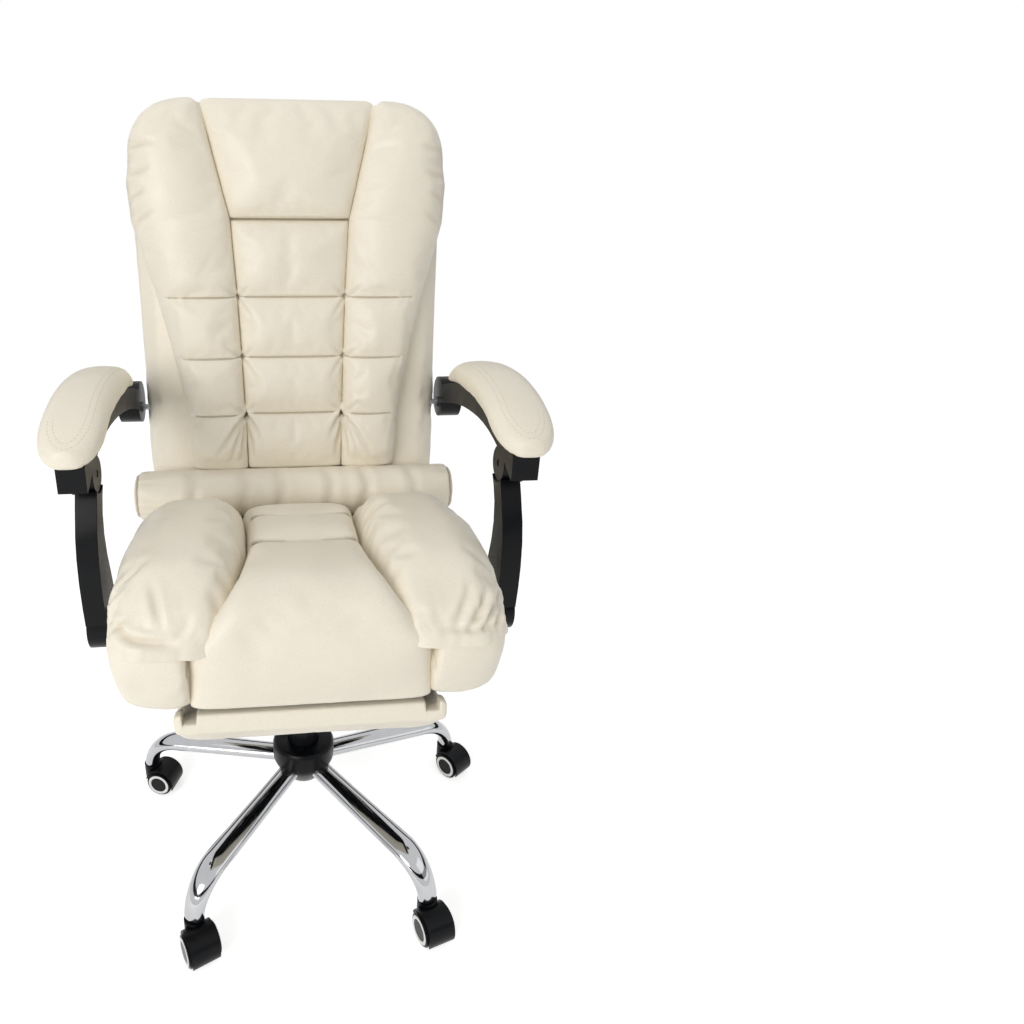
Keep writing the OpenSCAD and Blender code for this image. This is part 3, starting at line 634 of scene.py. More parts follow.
def metal_finish(name, tone_a, tone_b, rough, wave, wave_scale):
    """Plated steel: buffing leaves a faint waviness, and the plating a little uneven gloss."""
    f, at = new_finish(name)
    buff = add(f, "ShaderNodeTexNoise", {"Vector": at, "Scale": wave_scale, "Detail": 2.0})
    film = add(f, "ShaderNodeTexNoise", {"Vector": at, "Scale": 45.0, "Detail": 5.0,
                                         "Roughness": 0.6}).outputs["Fac"]
    return shaded(f, {"Base Color": blend(f, film, linear(tone_a), linear(tone_b)), "Metallic": 1.0,
                      "Roughness": span(f, film, 0.3, 0.7, rough, rough * 1.6 + 0.01),
                      "Normal": bump(f, buff.outputs["Fac"], wave, 0.002)})


def wood_finish():
    """Moulded birch plywood, raw: pale layers with a fine grain."""
    f, at = new_finish("birch_plywood")
    # grain lines a few millimetres apart
    grain = add(f, "ShaderNodeTexWave", {"Vector": at, "Scale": 55.0, "Distortion": 5.0, "Detail": 3.0})
    tone = blend(f, grain.outputs["Fac"], linear("#C9A877"), linear("#E0C79B"))
    return shaded(f, {"Base Color": tone, "Roughness": 0.65})


def studio_finish(name, colour, glow):
    """Painted studio floor: its own colour, and a little glow that only the camera and reflections see."""
    f, at = new_finish(name)
    level = add(f, "ShaderNodeMath", {0: seen_directly(f), 1: glow}, operation="MULTIPLY")
    speck = add(f, "ShaderNodeTexNoise", {"Vector": at, "Scale": 3.0})
    tone = blend(f, speck.outputs["Fac"], linear(colour), linear("#FFFFFF"))
    matt = add(f, "ShaderNodeBsdfDiffuse", {"Color": tone})
    shine = add(f, "ShaderNodeEmission", {"Color": (1, 1, 1, 1), "Strength": level.outputs[0]})
    return output(f, add(f, "ShaderNodeAddShader", {0: matt.outputs[0], 1: shine.outputs[0]}).outputs[0])


# Settings that a user would change

def length_setting(label, description, default, **limits):
    return FloatProperty(name=label, description=description, default=default, unit="LENGTH", **limits)


def colour_setting(label, description, default):
    return StringProperty(name=label, description=description, default=default)


class CHAIR_PG_finishes(bpy.types.PropertyGroup):
    leather: colour_setting("Leather", "Colour of the leather", "#F9F2E2")
    leather_shade: colour_setting("Leather shade", "Darker tone of the leather", "#F3ECDB")
    # painted shade: the colour that seams, folds and wrinkles are darkened towards; the grain's grooves take a
    # little of it too
    leather_grain_and_shade: colour_setting("Leather crease", "Tone inside seams", "#8C7A5E")
    leather_rough: FloatProperty(name="Leather roughness", description="Gloss of the coating", default=0.42,
                                 min=0.1, max=1.0, subtype="FACTOR")
    grain: FloatProperty(name="Grain", description="Width of the leather's pebble grain, in mm", default=1.7,
                         min=0.5, max=5.0)
    plastic: colour_setting("Plastic", "Colour of the mouldings", "#08090C")


class CHAIR_PG_upholstery(bpy.types.PropertyGroup):
    side_crown: length_setting("Side crown", "Height of the side panels over their seams", 0.036)
    middle_crown: length_setting("Middle crown", "Height of the tufted panel", 0.022)
    head_crown: length_setting("Head crown", "Height of the headrest", 0.028)
    tuft: length_setting("Tuft depth", "Depth of the sewn channels", 0.009)
    voxel: length_setting("Cover mesh", "Edge length of the covers' mesh", 0.0046, min=0.003, max=0.01)
    stitch: length_setting("Stitch", "Length of one stitch", 0.0042)


class CHAIR_PG_base(bpy.types.PropertyGroup):
    stem_radius: length_setting("Stem radius", "Distance of each caster stem from the column", 0.296)
    leg_depth: length_setting("Leg depth", "Height of a leg's section", 0.025)


class CHAIR_PG_studio(bpy.types.PropertyGroup):
    key: FloatProperty(name="Key light", description="Power of the large front light", default=56.0,
                       unit="POWER")
    fill: FloatProperty(name="Fill light", description="Power of the side light", default=7.0, unit="POWER")
    sky: FloatProperty(name="Sky", description="Level of the light from all round", default=0.42, min=0, max=2)


def settings(group):
    return getattr(bpy.context.scene, "chair_" + group)


# The back's front cover

TUFT_ROWS = (701, 796, 894)
HEAD_SEAM = 1016
COVER_FOOT = 601
COVER_TOP = 1197


def shell_front(z):
    """How far back the rear shell's front face stands at a height."""
    return table(z, ((487, 205), (494, 200), (520, 199), (600, 206), (700, 218), (800, 233), (900, 250),
                     (1000, 266), (1060, 274), (1105, 279), (1140, 282), (1166, 284), (1184, 286),
                     (1195, 289), (1200, 292)))


def seam_depth(z):
    """How far back the two long seams lie at a height."""
    return table(z, ((600, 186), (700, 199), (800, 212), (900, 227), (1016, 241), (1110, 256), (1200, 276)))


def inner_seam(z):
    """Half width of the middle panel, from long seam to long seam."""
    return table(z, ((600, 82), (700, 84), (800, 87), (900, 91), (1016, 98), (1200, 143)))


def outer_seam(z):
    """Half width of the whole front cover, drawn in round its top corners."""
    corner = 106 * (1 - (1 - np.clip((z - 1100) / 97.5, 0, 1) ** 2.4) ** 0.42)
    return table(z, ((600, 178), (700, 184), (757, 195), (831, 211), (900, 228), (960, 246), (1010, 261),
                     (1070, 265), (1100, 260))) - corner


def ridge(u, sharp):
    """A stuffed section from 0 over 1 to 0: the higher sharp is, the flatter its top."""
    return np.sqrt(np.maximum(0, 1 - np.abs(2 * u - 1) ** sharp))


def back_front(x, z, size):
    """How far forward the back's cover stands at a place, in millimetres (a smaller y is further forward)."""
    inner, outer = inner_seam(z), outer_seam(z)
    below = np.clip((COVER_TOP + 1 - z) / 62, 0, 1)
    top_fade = np.sqrt(below * (2 - below))
    foot_fade = between(0.42, 1, ease((z - COVER_FOOT) / 46))
    channel = np.zeros_like(z)
    for row in TUFT_ROWS:
        channel = np.maximum(channel, 0.55 * valley(z - row, 20) + 0.45 * valley(z - row, 3))
    u = np.clip((np.abs(x) - inner) / np.maximum(outer - inner, 1), 0, 1)
    edge = shell_front(z) - 11
    side_base = between(seam_depth(z), edge, u ** 3)
    tufted = size.tuft / MM * channel * (1 - 0.72 * u ** 0.8)
    side = side_base - (size.side_crown / MM - tufted) * ridge(u, 3.4) * top_fade * foot_fade
    v = (x / inner + 1) / 2
    head = np.where(z > HEAD_SEAM, 1.0, 0.0)
    tufted_crown = size.middle_crown / MM - size.tuft / MM * channel
    crown = between(tufted_crown, size.head_crown / MM * np.ones_like(z), head)
    cross = 1 - 0.5 * valley(z - HEAD_SEAM, 14) - 0.35 * valley(z - HEAD_SEAM, 3)
    middle = seam_depth(z) - crown * ridge(np.clip(v, 0, 1), 4.4) * top_fade * foot_fade * cross
    return np.where(np.abs(x) < inner, middle, side)


def seam_lines(size):
    """The cover's seams, as lines of places on it."""
    lines = []
    heights = np.linspace(COVER_FOOT, COVER_TOP - 8, 60)
    for side in (-1, 1):
        lines.append([(side * inner_seam(z), seam_depth(z), z) for z in heights])
    for row in TUFT_ROWS + (HEAD_SEAM,):
        reach = inner_seam(row) if row == HEAD_SEAM else between(inner_seam(row), outer_seam(row), 0.82)
        x = np.linspace(-reach, reach, 50)
        y = back_front(x, np.full_like(x, row), size)
        lines.append(list(zip(x, y, np.full_like(x, row))))
    return [[(a * MM, b * MM + COLUMN_Y, c * MM) for a, b, c in line] for line in lines]


class CHAIR_OT_back_cover(bpy.types.Operator):
    """Sews the back's front cover: headrest, tufted middle and winged sides in one skin"""
    bl_idname = "chair.back_cover"
    bl_label = "Back Cover"
    close = np.array((-5.5, -3, -1.5, -0.5, 0.5, 1.5, 3, 5.5))

    def execute(self, context):
        size = settings("upholstery")
        rows = np.concatenate([np.arange(COVER_FOOT, COVER_TOP - 6, 7.0),
                               COVER_TOP - np.array((5, 3, 1.5, 0.5, 0))]
                              + [row + self.close for row in TUFT_ROWS + (HEAD_SEAM,)])
        rows = np.unique(np.round(rows, 1))
        rows = rows[np.concatenate([[True], np.diff(rows) > 0.45])]
        near = np.array((0, 0.007, 0.018, 0.035, 0.06))
        half = np.concatenate([np.linspace(0, 0.9, 12), 1 - near[:0:-1], 1 + near, np.linspace(1.09, 2, 21)])
        across = np.concatenate([-half[:0:-1], half])
        front, back = [], []
        for z in rows:
            inner, outer = inner_seam(z), outer_seam(z)
            x = np.where(np.abs(across) <= 1, across * inner,
                         np.sign(across) * (inner + (np.abs(across) - 1) * (outer - inner)))
            level = np.full_like(x, z)
            level -= 7 * ease((z - 1140) / 57) * valley(np.abs(x) - inner, 7)
            front.append(np.stack([x, back_front(x, level, size) + COLUMN, level], 1))
            back.append(np.stack([x, np.full_like(x, shell_front(z) - 0.6 + COLUMN), level], 1))
        front, back = np.array(front), np.array(back)
        x, z = np.abs(front[:, :, 0]), front[:, :, 2]
        hold = np.maximum(valley(x - inner_seam(z), 6), valley(z - HEAD_SEAM, 7) * (x < inner_seam(z)))
        for row in TUFT_ROWS:
            hold = np.maximum(hold, valley(z - row, 7) * (1 - 0.75 * ease((x - inner_seam(row)) / 90)))
        hold = np.maximum(hold, valley(x - outer_seam(z), 9))
        hold = np.maximum(hold, np.maximum(valley(z - COVER_TOP, 10), valley(z - COVER_FOOT, 8)))
        piece = two_sided("back_cover", front, back, hold)
        swell(piece, held=hold_of(piece), pressure=3.0, looseness=0.03, cap=0.010)
        iron(piece, 1, 0.3)
        co = places(piece)
        x, z = np.abs(co[:, 0]) / MM, co[:, 2] / MM
        plain = piece.vertex_groups.new(name="plain")
        wings = (np.abs(z - HEAD_SEAM) < 18) & (x > inner_seam(z) + 10) & (x < outer_seam(z) - 10)
        plain.add([int(i) for i in np.nonzero(wings)[0]], 1.0, "REPLACE")
        apply_modifier(piece, "SMOOTH", iterations=24, factor=0.6, vertex_group="plain")
        piece.vertex_groups.clear()
        divide(piece)
        lines = seam_lines(size)
        carve(piece, lines[:2] + lines[5:], 0.0017, 0.0035, lip=0.1, shade=0.85)
        carve(piece, lines[2:5], 0.0012, 0.0020, lip=0.2, shade=0.5)
        pleats = []
        for side in (-1, 1):
            for row in TUFT_ROWS:
                knot = (side * inner_seam(row), row)
                for dx, dz in ((30, 24), (-22, 20), (-26, -34)):
                    line = self.over(piece, size, knot, (knot[0] + side * dx, row + dz))
                    pleats.append((line, 0.0035, 0.0020))
            low_row = TUFT_ROWS[0]
            knot = (side * inner_seam(low_row), low_row)
            for dx, low, deep in ((52, 632, 4.2), (28, 620, 3.6), (10, 616, 2.6),
                                  (-26, 656, 3.4), (-14, 622, 2.8)):
                line = self.over(piece, size, knot, (knot[0] + side * dx, low))
                pleats.append((line, 0.0042, deep * MM))
            for k, (x0, z0, x1, z1) in enumerate(((254, 1120, 205, 1128), (256, 1082, 214, 1090),
                                                  (256, 1046, 222, 1060), (250, 1010, 214, 1030))):
                deep = (0.0040 - k * 0.0004) * (1 if side < 0 else 0.25)
                pleats.append((self.over(piece, size, (side * x0, z0), (side * x1, z1)), 0.0045, deep))
        fold(piece, pleats)
        co = places(piece)
        x, z = np.abs(co[:, 0]) / MM, co[:, 2] / MM
        near = 0.5 * valley(x - outer_seam(z), 36) + 0.3 * valley(x - inner_seam(z), 22) * (z < HEAD_SEAM)
        ripple(piece, np.clip(near, 0, 1), 0.035, 0.0015, turn=(0.6, 1, 1.6), seed=3.1)
        finish_soft(piece, "back", 0.75, "headrest", "back_panel", "back_side_left", "back_side_right",
                    levels=0)
        rows = [beside(lines[0], -0.006), beside(lines[1], 0.006), beside(lines[5], -0.006)]
        stitch_rows("back_stitching", piece, "back", rows, size.stitch)
        return {"FINISHED"}

    def over(self, piece, size, a, b):
        """A line laid on the cover between two places given by x and z."""
        x, z = np.linspace(a[0], b[0], 9), np.linspace(a[1], b[1], 9)
        y = back_front(x, z, size)
        spots = [Vector((p * MM, q * MM + COLUMN_Y, r * MM)) for p, q, r in zip(x, y, z)]
        return [piece.closest_point_on_mesh(spot)[1] for spot in spots]


class CHAIR_OT_back_shell(bpy.types.Operator):
    """Wraps the back's rear shell in leather"""
    bl_idname = "chair.back_shell"
    bl_label = "Back Shell"

    def execute(self, context):
        piece = cover("back_shell", "back_rear_cover", voxel=0.0075, rounds=0)
        iron(piece, 4, 0.5)
        co = places(piece)
        hold = ease((0.545 - co[:, 2]) / 0.03)
        swell(piece, held=np.clip(hold, 0, 1), pressure=1.5, looseness=0.01, cap=0.006)
        finish_soft(piece, "back", 0.8, "back_shell", levels=0)
        return {"FINISHED"}


class CHAIR_OT_roll(bpy.types.Operator):
    """Stuffs the lumbar roll and sews its round ends"""
    bl_idname = "chair.lumbar_roll"
    bl_label = "Lumbar Roll"

    def execute(self, context):
        size = settings("upholstery")
        piece = cover("lumbar_roll", "lumbar_bolster", voxel=size.voxel, rounds=0)
        iron(piece, 3, 0.5)
        swell(piece, pressure=3.0, looseness=0.01, cap=0.004)
        divide(piece)
        roll_y, roll_z = 0.160 + COLUMN_Y, 0.565
        rings = []
        for side in (-1, 1):
            rings.append([(side * 0.2695, roll_y + 0.0395 * math.cos(a), roll_z + 0.0395 * math.sin(a))
                          for a in np.linspace(0, 2 * math.pi, 49)])
        carve(piece, rings, 0.0028, 0.0022)
        turns = []
        for x, depth in ((-0.178, 2.0), (-0.092, 1.6), (-0.03, 2.2), (0.055, 1.8), (0.118, 2.4), (0.2, 1.8)):
            ring = [(x + 0.004 * math.sin(3 * a), roll_y + 0.042 * math.cos(a), roll_z + 0.042 * math.sin(a))
                    for a in np.linspace(0.5 * math.pi, 1.55 * math.pi, 20)]
            turns.append((ring, 0.009, depth * 1.6 * MM))
        fold(piece, turns)
        co = places(piece)
        x = np.abs(co[:, 0])
        ripple(piece, valley(x - 0.262, 0.035), 0.022, 0.0022, turn=(0.35, 1.4, 1.4), seed=7.0)
        ripple(piece, np.full(len(co), 0.5), 0.06, 0.0012, turn=(0.7, 1.2, 1.2), seed=1.3)
        finish_soft(piece, "back", 0.85, "lumbar_roll", levels=0)
        return {"FINISHED"}


class CHAIR_OT_seat(bpy.types.Operator):
    """Stuffs the seat: its box, its two thigh pillows and the middle pad"""
    bl_idname = "chair.seat"
    bl_label = "Seat Cushions"
    pad_seams = (12, -108)      # cross seams of the middle pad, along the seat, in millimetres

    def execute(self, context):
        size = settings("upholstery")
        self.box()
        self.pad(size)
        for side, name in ((-1, "left"), (1, "right")):
            self.pillow(side, name)
        return {"FINISHED"}

    def box(self):
        piece = cover("seat_cushion", "seat_box_cover", voxel=0.006, rounds=0)
        iron(piece, 3, 0.5)
        co = places(piece)
        swell(piece, held=ease((0.47 - co[:, 2]) / 0.03), pressure=2.0, looseness=0.015, cap=0.006)
        co = places(piece)
        ripple(piece, np.full(len(co), 0.6), 0.05, 0.0025, turn=(1, 1, 0.6), seed=5.5)
        finish_soft(piece, "seat", 0.7, "seat_cushion", levels=0)

    def pad(self, size):
        u = np.sin(np.linspace(-math.pi / 2, math.pi / 2, 43))
        front, back, hold = [], [], []
        for low, high, normal, half, y in self.pad_rows():
            rise = np.hypot(high[0] - low[0], high[1] - low[1])
            sink = rise * (1 - np.sqrt(1 - np.abs(u) ** 12))
            front.append([seat_spot(half * a, high[0] - normal[0] * e, high[1] - normal[1] * e)
                          for a, e in zip(u, sink)])
            back.append([seat_spot(half * a, low[0], low[1]) for a in u])
            seam = max(valley(y - place, 6) for place in self.pad_seams) if y is not None else 0
            hold.append(np.maximum(valley(1 - np.abs(u), 0.06), seam))
        hold = np.array(hold)
        hold[:2] = hold[-2:] = 1
        piece = two_sided("seat_middle_pad", np.array(front), np.array(back), hold)
        swell(piece, held=hold_of(piece), pressure=3.0, looseness=0.004, cap=0.007)
        iron(piece, 2, 0.4)
        divide(piece)
        seams = [[seat_place(x, y + 5 * (x / 90) ** 2, 162) for x in np.linspace(-84, 84, 40)]
                 for y in self.pad_seams]
        seams = [[piece.closest_point_on_mesh(p)[1] for p in seam] for seam in seams]
        carve(piece, seams, 0.0032, 0.0034)
        co = places(piece)
        ripple(piece, np.full(len(co), 0.4), 0.09, 0.0014, turn=(1.3, 0.5, 0.5), seed=2.2)
        finish_soft(piece, "seat", 0.75, "seat_pad", levels=0)
        rows = [np.array(seams[1]) + (0, -0.006, 0), np.array(seams[0]) + (0, -0.006, 0)]
        stitch_rows("seat_pad_stitching", piece, "seat", rows, size.stitch)

    def pad_rows(self):
        """Stations along the pad's middle: inner and outer place, outward way, half width, station."""
        roll = 62
        front = -277
        rows = []
        for y in np.linspace(151, front + roll, 62):
            dip = 13 * max(0.6 * valley(y - c, 15) + 0.4 * valley(y - c, 5) for c in self.pad_seams)
            end = 36 * ease(y / 190) + 8 * (1 - math.sqrt(1 - (1 - ease((151 - y) / 12)) ** 2))
            rows.append(((y, 100.4), (y, 168 - dip - end), (0, 1), float(pad_half(y)) + 1.2, y))
        for turn in np.linspace(5, 90, 22):
            a = math.radians(turn)
            inner = (-238.4, between(100.4, 70, max(0, (turn - 18) / 72)))
            outer = (front + roll - (roll + 6) * math.sin(a), 168 - roll + roll * math.cos(a))
            rows.append((inner, outer, (-math.sin(a), math.cos(a)), pad_bend(turn) + 1.2, None))
        for t in np.linspace(0.05, 1, 15):
            outer = (between(front - 7, -257, ease(t)), between(104, 0.5, t))
            half = between(132.2, 147.2, ease(0.25 + t / 0.17))
            rows.append(((-238.4, between(60, 1, t)), outer, (-1, 0), half, None))
        return rows

    def pillow(self, side, name):
        u, v = (np.sin(np.linspace(-math.pi / 2, math.pi / 2, k)) for k in (33, 63))
        front, back, hold = [], [], []
        for b in v:
            wide = u * np.sqrt(1 - 0.30 * b * b * (u > 0))
            long = b * np.sqrt(1 - 0.22 * u * u * (u > 0))
            y = -67.5 + 218.5 * long
            x = between(pad_half(y) - 1.5, pillow_side(y), (1 + wide) / 2)
            across = np.sqrt(1 - np.abs(u) ** np.where(u < 0, 10.0, 2.9))
            lengthwise = math.sqrt(1 - abs(b) ** (2.5 if b < 0 else 14))
            droop = 16 * ease((-215 - y) / 65)
            low = 100.4 - droop
            height = (90 - 4 * (y / 280) ** 2) * (1 - 0.65 * ease((y + 60) / 250))
            high = low + height * across * lengthwise
            front.append([seat_spot(side * p, q, r) for p, q, r in zip(x, y, high)])
            back.append([seat_spot(side * p, q, r) for p, q, r in zip(x, y, low)])
            hold.append(np.maximum(valley(1 + u, 0.05), valley(1 - np.abs(b), 0.03)))
        piece = two_sided("thigh_pillow_" + name, np.array(front), np.array(back), np.array(hold))
        swell(piece, held=hold_of(piece), pressure=4.0, looseness=0.045, cap=0.011)
        divide(piece)
        creases = {
            "left": (((240, -256, 126), (205, -282, 112), (150, -284, 104), 4.5, 7.0),
                     ((243, -262, 112), (226, -274, 128), (214, -272, 140), 4, 4.5),
                     ((249, -205, 132), (238, -222, 150), (218, -232, 160), 4.5, 5.0),
                     ((170, -285, 128), (178, -262, 150), (184, -240, 165), 5, 3.0),
                     ((112, 60, 165), (128, 40, 178), (150, 20, 188), 6, 2.4)),
            "right": (((166, -284, 112), (178, -274, 134), (188, -256, 154), 4.5, 4.0),
                      ((182, -284, 108), (200, -274, 128), (214, -254, 146), 4.2, 5.5),
                      ((202, -282, 108), (222, -268, 124), (238, -244, 138), 4.2, 6.0),
                      ((226, -270, 112), (240, -248, 128), (248, -215, 142), 4.5, 5.5),
                      ((152, -284, 106), (196, -282, 104), (238, -262, 110), 4.5, 4.0),
                      ((112, 60, 165), (128, 40, 178), (150, 20, 188), 6, 2.4))}[name]
        folds = []
        for a, b, c, wide, deep in creases:
            line = spline([a, b, c], 9)
            line = [piece.closest_point_on_mesh(seat_place(side * x, y, z))[1] for x, y, z in line]
            folds.append((line, wide * MM, deep * MM))
        fold(piece, folds)
        co = places(piece)
        gap = np.linalg.norm(co - np.array(seat_place(side * 205, -282, 115)), axis=1)
        ripple(piece, valley(gap, 0.07), 0.024, 0.0030, turn=(1.6, 0.6, 0.8), seed=4.0 + side)
        ripple(piece, np.full(len(co), 0.5), 0.07, 0.0016, seed=9.0 + side)
        finish_soft(piece, "seat", 0.65, "seat_pillow_" + name, levels=0)


class CHAIR_OT_arm_pads(bpy.types.Operator):
    """Stuffs the two arm pads and sews their double stitching"""
    bl_idname = "chair.arm_pads"
    bl_label = "Arm Pads"
    middle, row_half, row_bow, bow_y = 288, 27, 50, -128      # of the stitch rows, in millimetres

    def execute(self, context):
        size = settings("upholstery")
        for side in ("left", "right"):
            piece = cover("arm_pad_" + side, "arm_cushion_" + side, voxel=0.0035, rounds=1)
            iron(piece, 2, 0.5)
            swell(piece, pressure=2.0, looseness=0.01, cap=0.003)
            finish_soft(piece, "arm_" + side, 0.8, "arm_pad_" + side, levels=1)
            way = -1 if side == "left" else 1
            rows = []
            for inset in (0, 7):
                half, bow = self.row_half - inset, self.row_bow - inset
                spots = [(self.middle - half + 5 * float(ease((y - 20) / 150)), y)
                         for y in np.linspace(150, self.bow_y, 40)]
                spots += [(self.middle - half * math.cos(a), self.bow_y - bow * math.sin(a))
                          for a in np.linspace(0, math.pi, 24)[1:]]
                row = []
                for x, y in spots:
                    above = Vector((way * x * MM, (y + COLUMN) * MM, 1.0))
                    hit, spot, _, _ = piece.ray_cast(above, Vector((0, 0, -1)))
                    if hit:
                        row.append(tuple(spot))
                rows.append(spline(row, 200))
            stitch_rows("arm_stitching_" + side, piece, "arm_" + side, rows, size.stitch)
        return {"FINISHED"}


class CHAIR_OT_footrest_pad(bpy.types.Operator):
    """Stuffs the footrest's pad"""
    bl_idname = "chair.footrest_pad"
    bl_label = "Footrest Pad"
    board_top = -24.8       # in the seat's frame, in millimetres, as all of these
    lip_half, lip_y, lip_foot, lip_top = 170, -232, -39, -12
    leg_x, notch_half, notch_top = 150, 8.5, -24

    def execute(self, context):
        piece = cover("footrest_pad", "footrest_cushion", voxel=0.004, rounds=0)
        iron(piece, 2, 0.5)
        self.bevel_front(piece)
        swell(piece, pressure=1.5, looseness=0.01, cap=0.003)
        finish_soft(piece, "footrest", 0.7, "footrest_pad", levels=0)
        self.wrap()
        self.lip()
        return {"FINISHED"}

    def bevel_front(self, piece):
        """The pad thins out towards its front edge."""
        co = places(piece)
        cos, sin = math.cos(SEAT_SLOPE), math.sin(SEAT_SLOPE)
        back, up = co[:, 1] / MM - COLUMN - SEAT_Y, co[:, 2] / MM - SEAT_Z
        y, z = back * cos - up * sin, back * sin + up * cos
        lift = -(z - self.board_top) * 0.70 * ease((-192 - y) / 46)
        co[:, 1] += lift * sin * MM
        co[:, 2] += lift * cos * MM
        put_places(piece, co)

    def wrap(self):
        """Leather folded over the board's edge, and the black dust cloth between."""
        for name, steps, finish in (
                ("footrest_wrap", ((6, -30.5), (5.5, -27), (8, -24.6), (12, -24.1), (60, -24.0), (80, -24.2)),
                 "pu_leather"),
                ("footrest_dust_cloth", ((44, -24.2), (43, -23.7), (46, -23.4), (70, -23.4)), "dust_cloth")):
            piece = loft(name, [[seat_place(*spot) for spot in self.ring(inset, z)] for inset, z in steps])
            finish_hard(piece, "footrest", finish, "cream_leather")

    def lip(self):
        """The pad's front edge stands up over the board and is cut out over the two legs of the rod."""
        reach = self.notch_half + 1
        notch = [-self.leg_x + step for step in (-reach, -self.notch_half, 0, self.notch_half, reach)]
        evenly = self.lip_half * np.sin(np.linspace(-math.pi / 2, math.pi / 2, 61))
        rings = []
        for x in np.unique(np.concatenate([evenly, notch, [-x for x in notch]])):
            thin = math.sqrt(max(0.0, 1 - abs(x / self.lip_half) ** 60)) + 0.02
            clear = float(ease(abs(abs(x) - self.leg_x) - self.notch_half))
            top = between(self.notch_top, self.lip_top, clear)
            middle, tall = (top + self.lip_foot) / 2, (top - self.lip_foot) / 2
            ring = []
            for turn in np.linspace(0, 2 * math.pi, 25)[:-1]:
                z = middle + tall * thin * squared(math.sin(turn), 0.3)
                ring.append(seat_place(x, self.lip_y + 10.5 * thin * squared(math.cos(turn), 0.4), z))
            rings.append(ring)
        finish_soft(loft("footrest_lip", rings), "footrest", 0.8, levels=0)

    def ring(self, inset, z):
        """The footrest pad's outline, drawn in by an inset."""
        out = []
        for turn in np.linspace(0, 2 * math.pi, 97)[:-1]:
            out.append(((172 - inset) * squared(math.cos(turn), 0.2),
                        -140 + (100 - inset) * squared(math.sin(turn), 0.2), z))
        return out


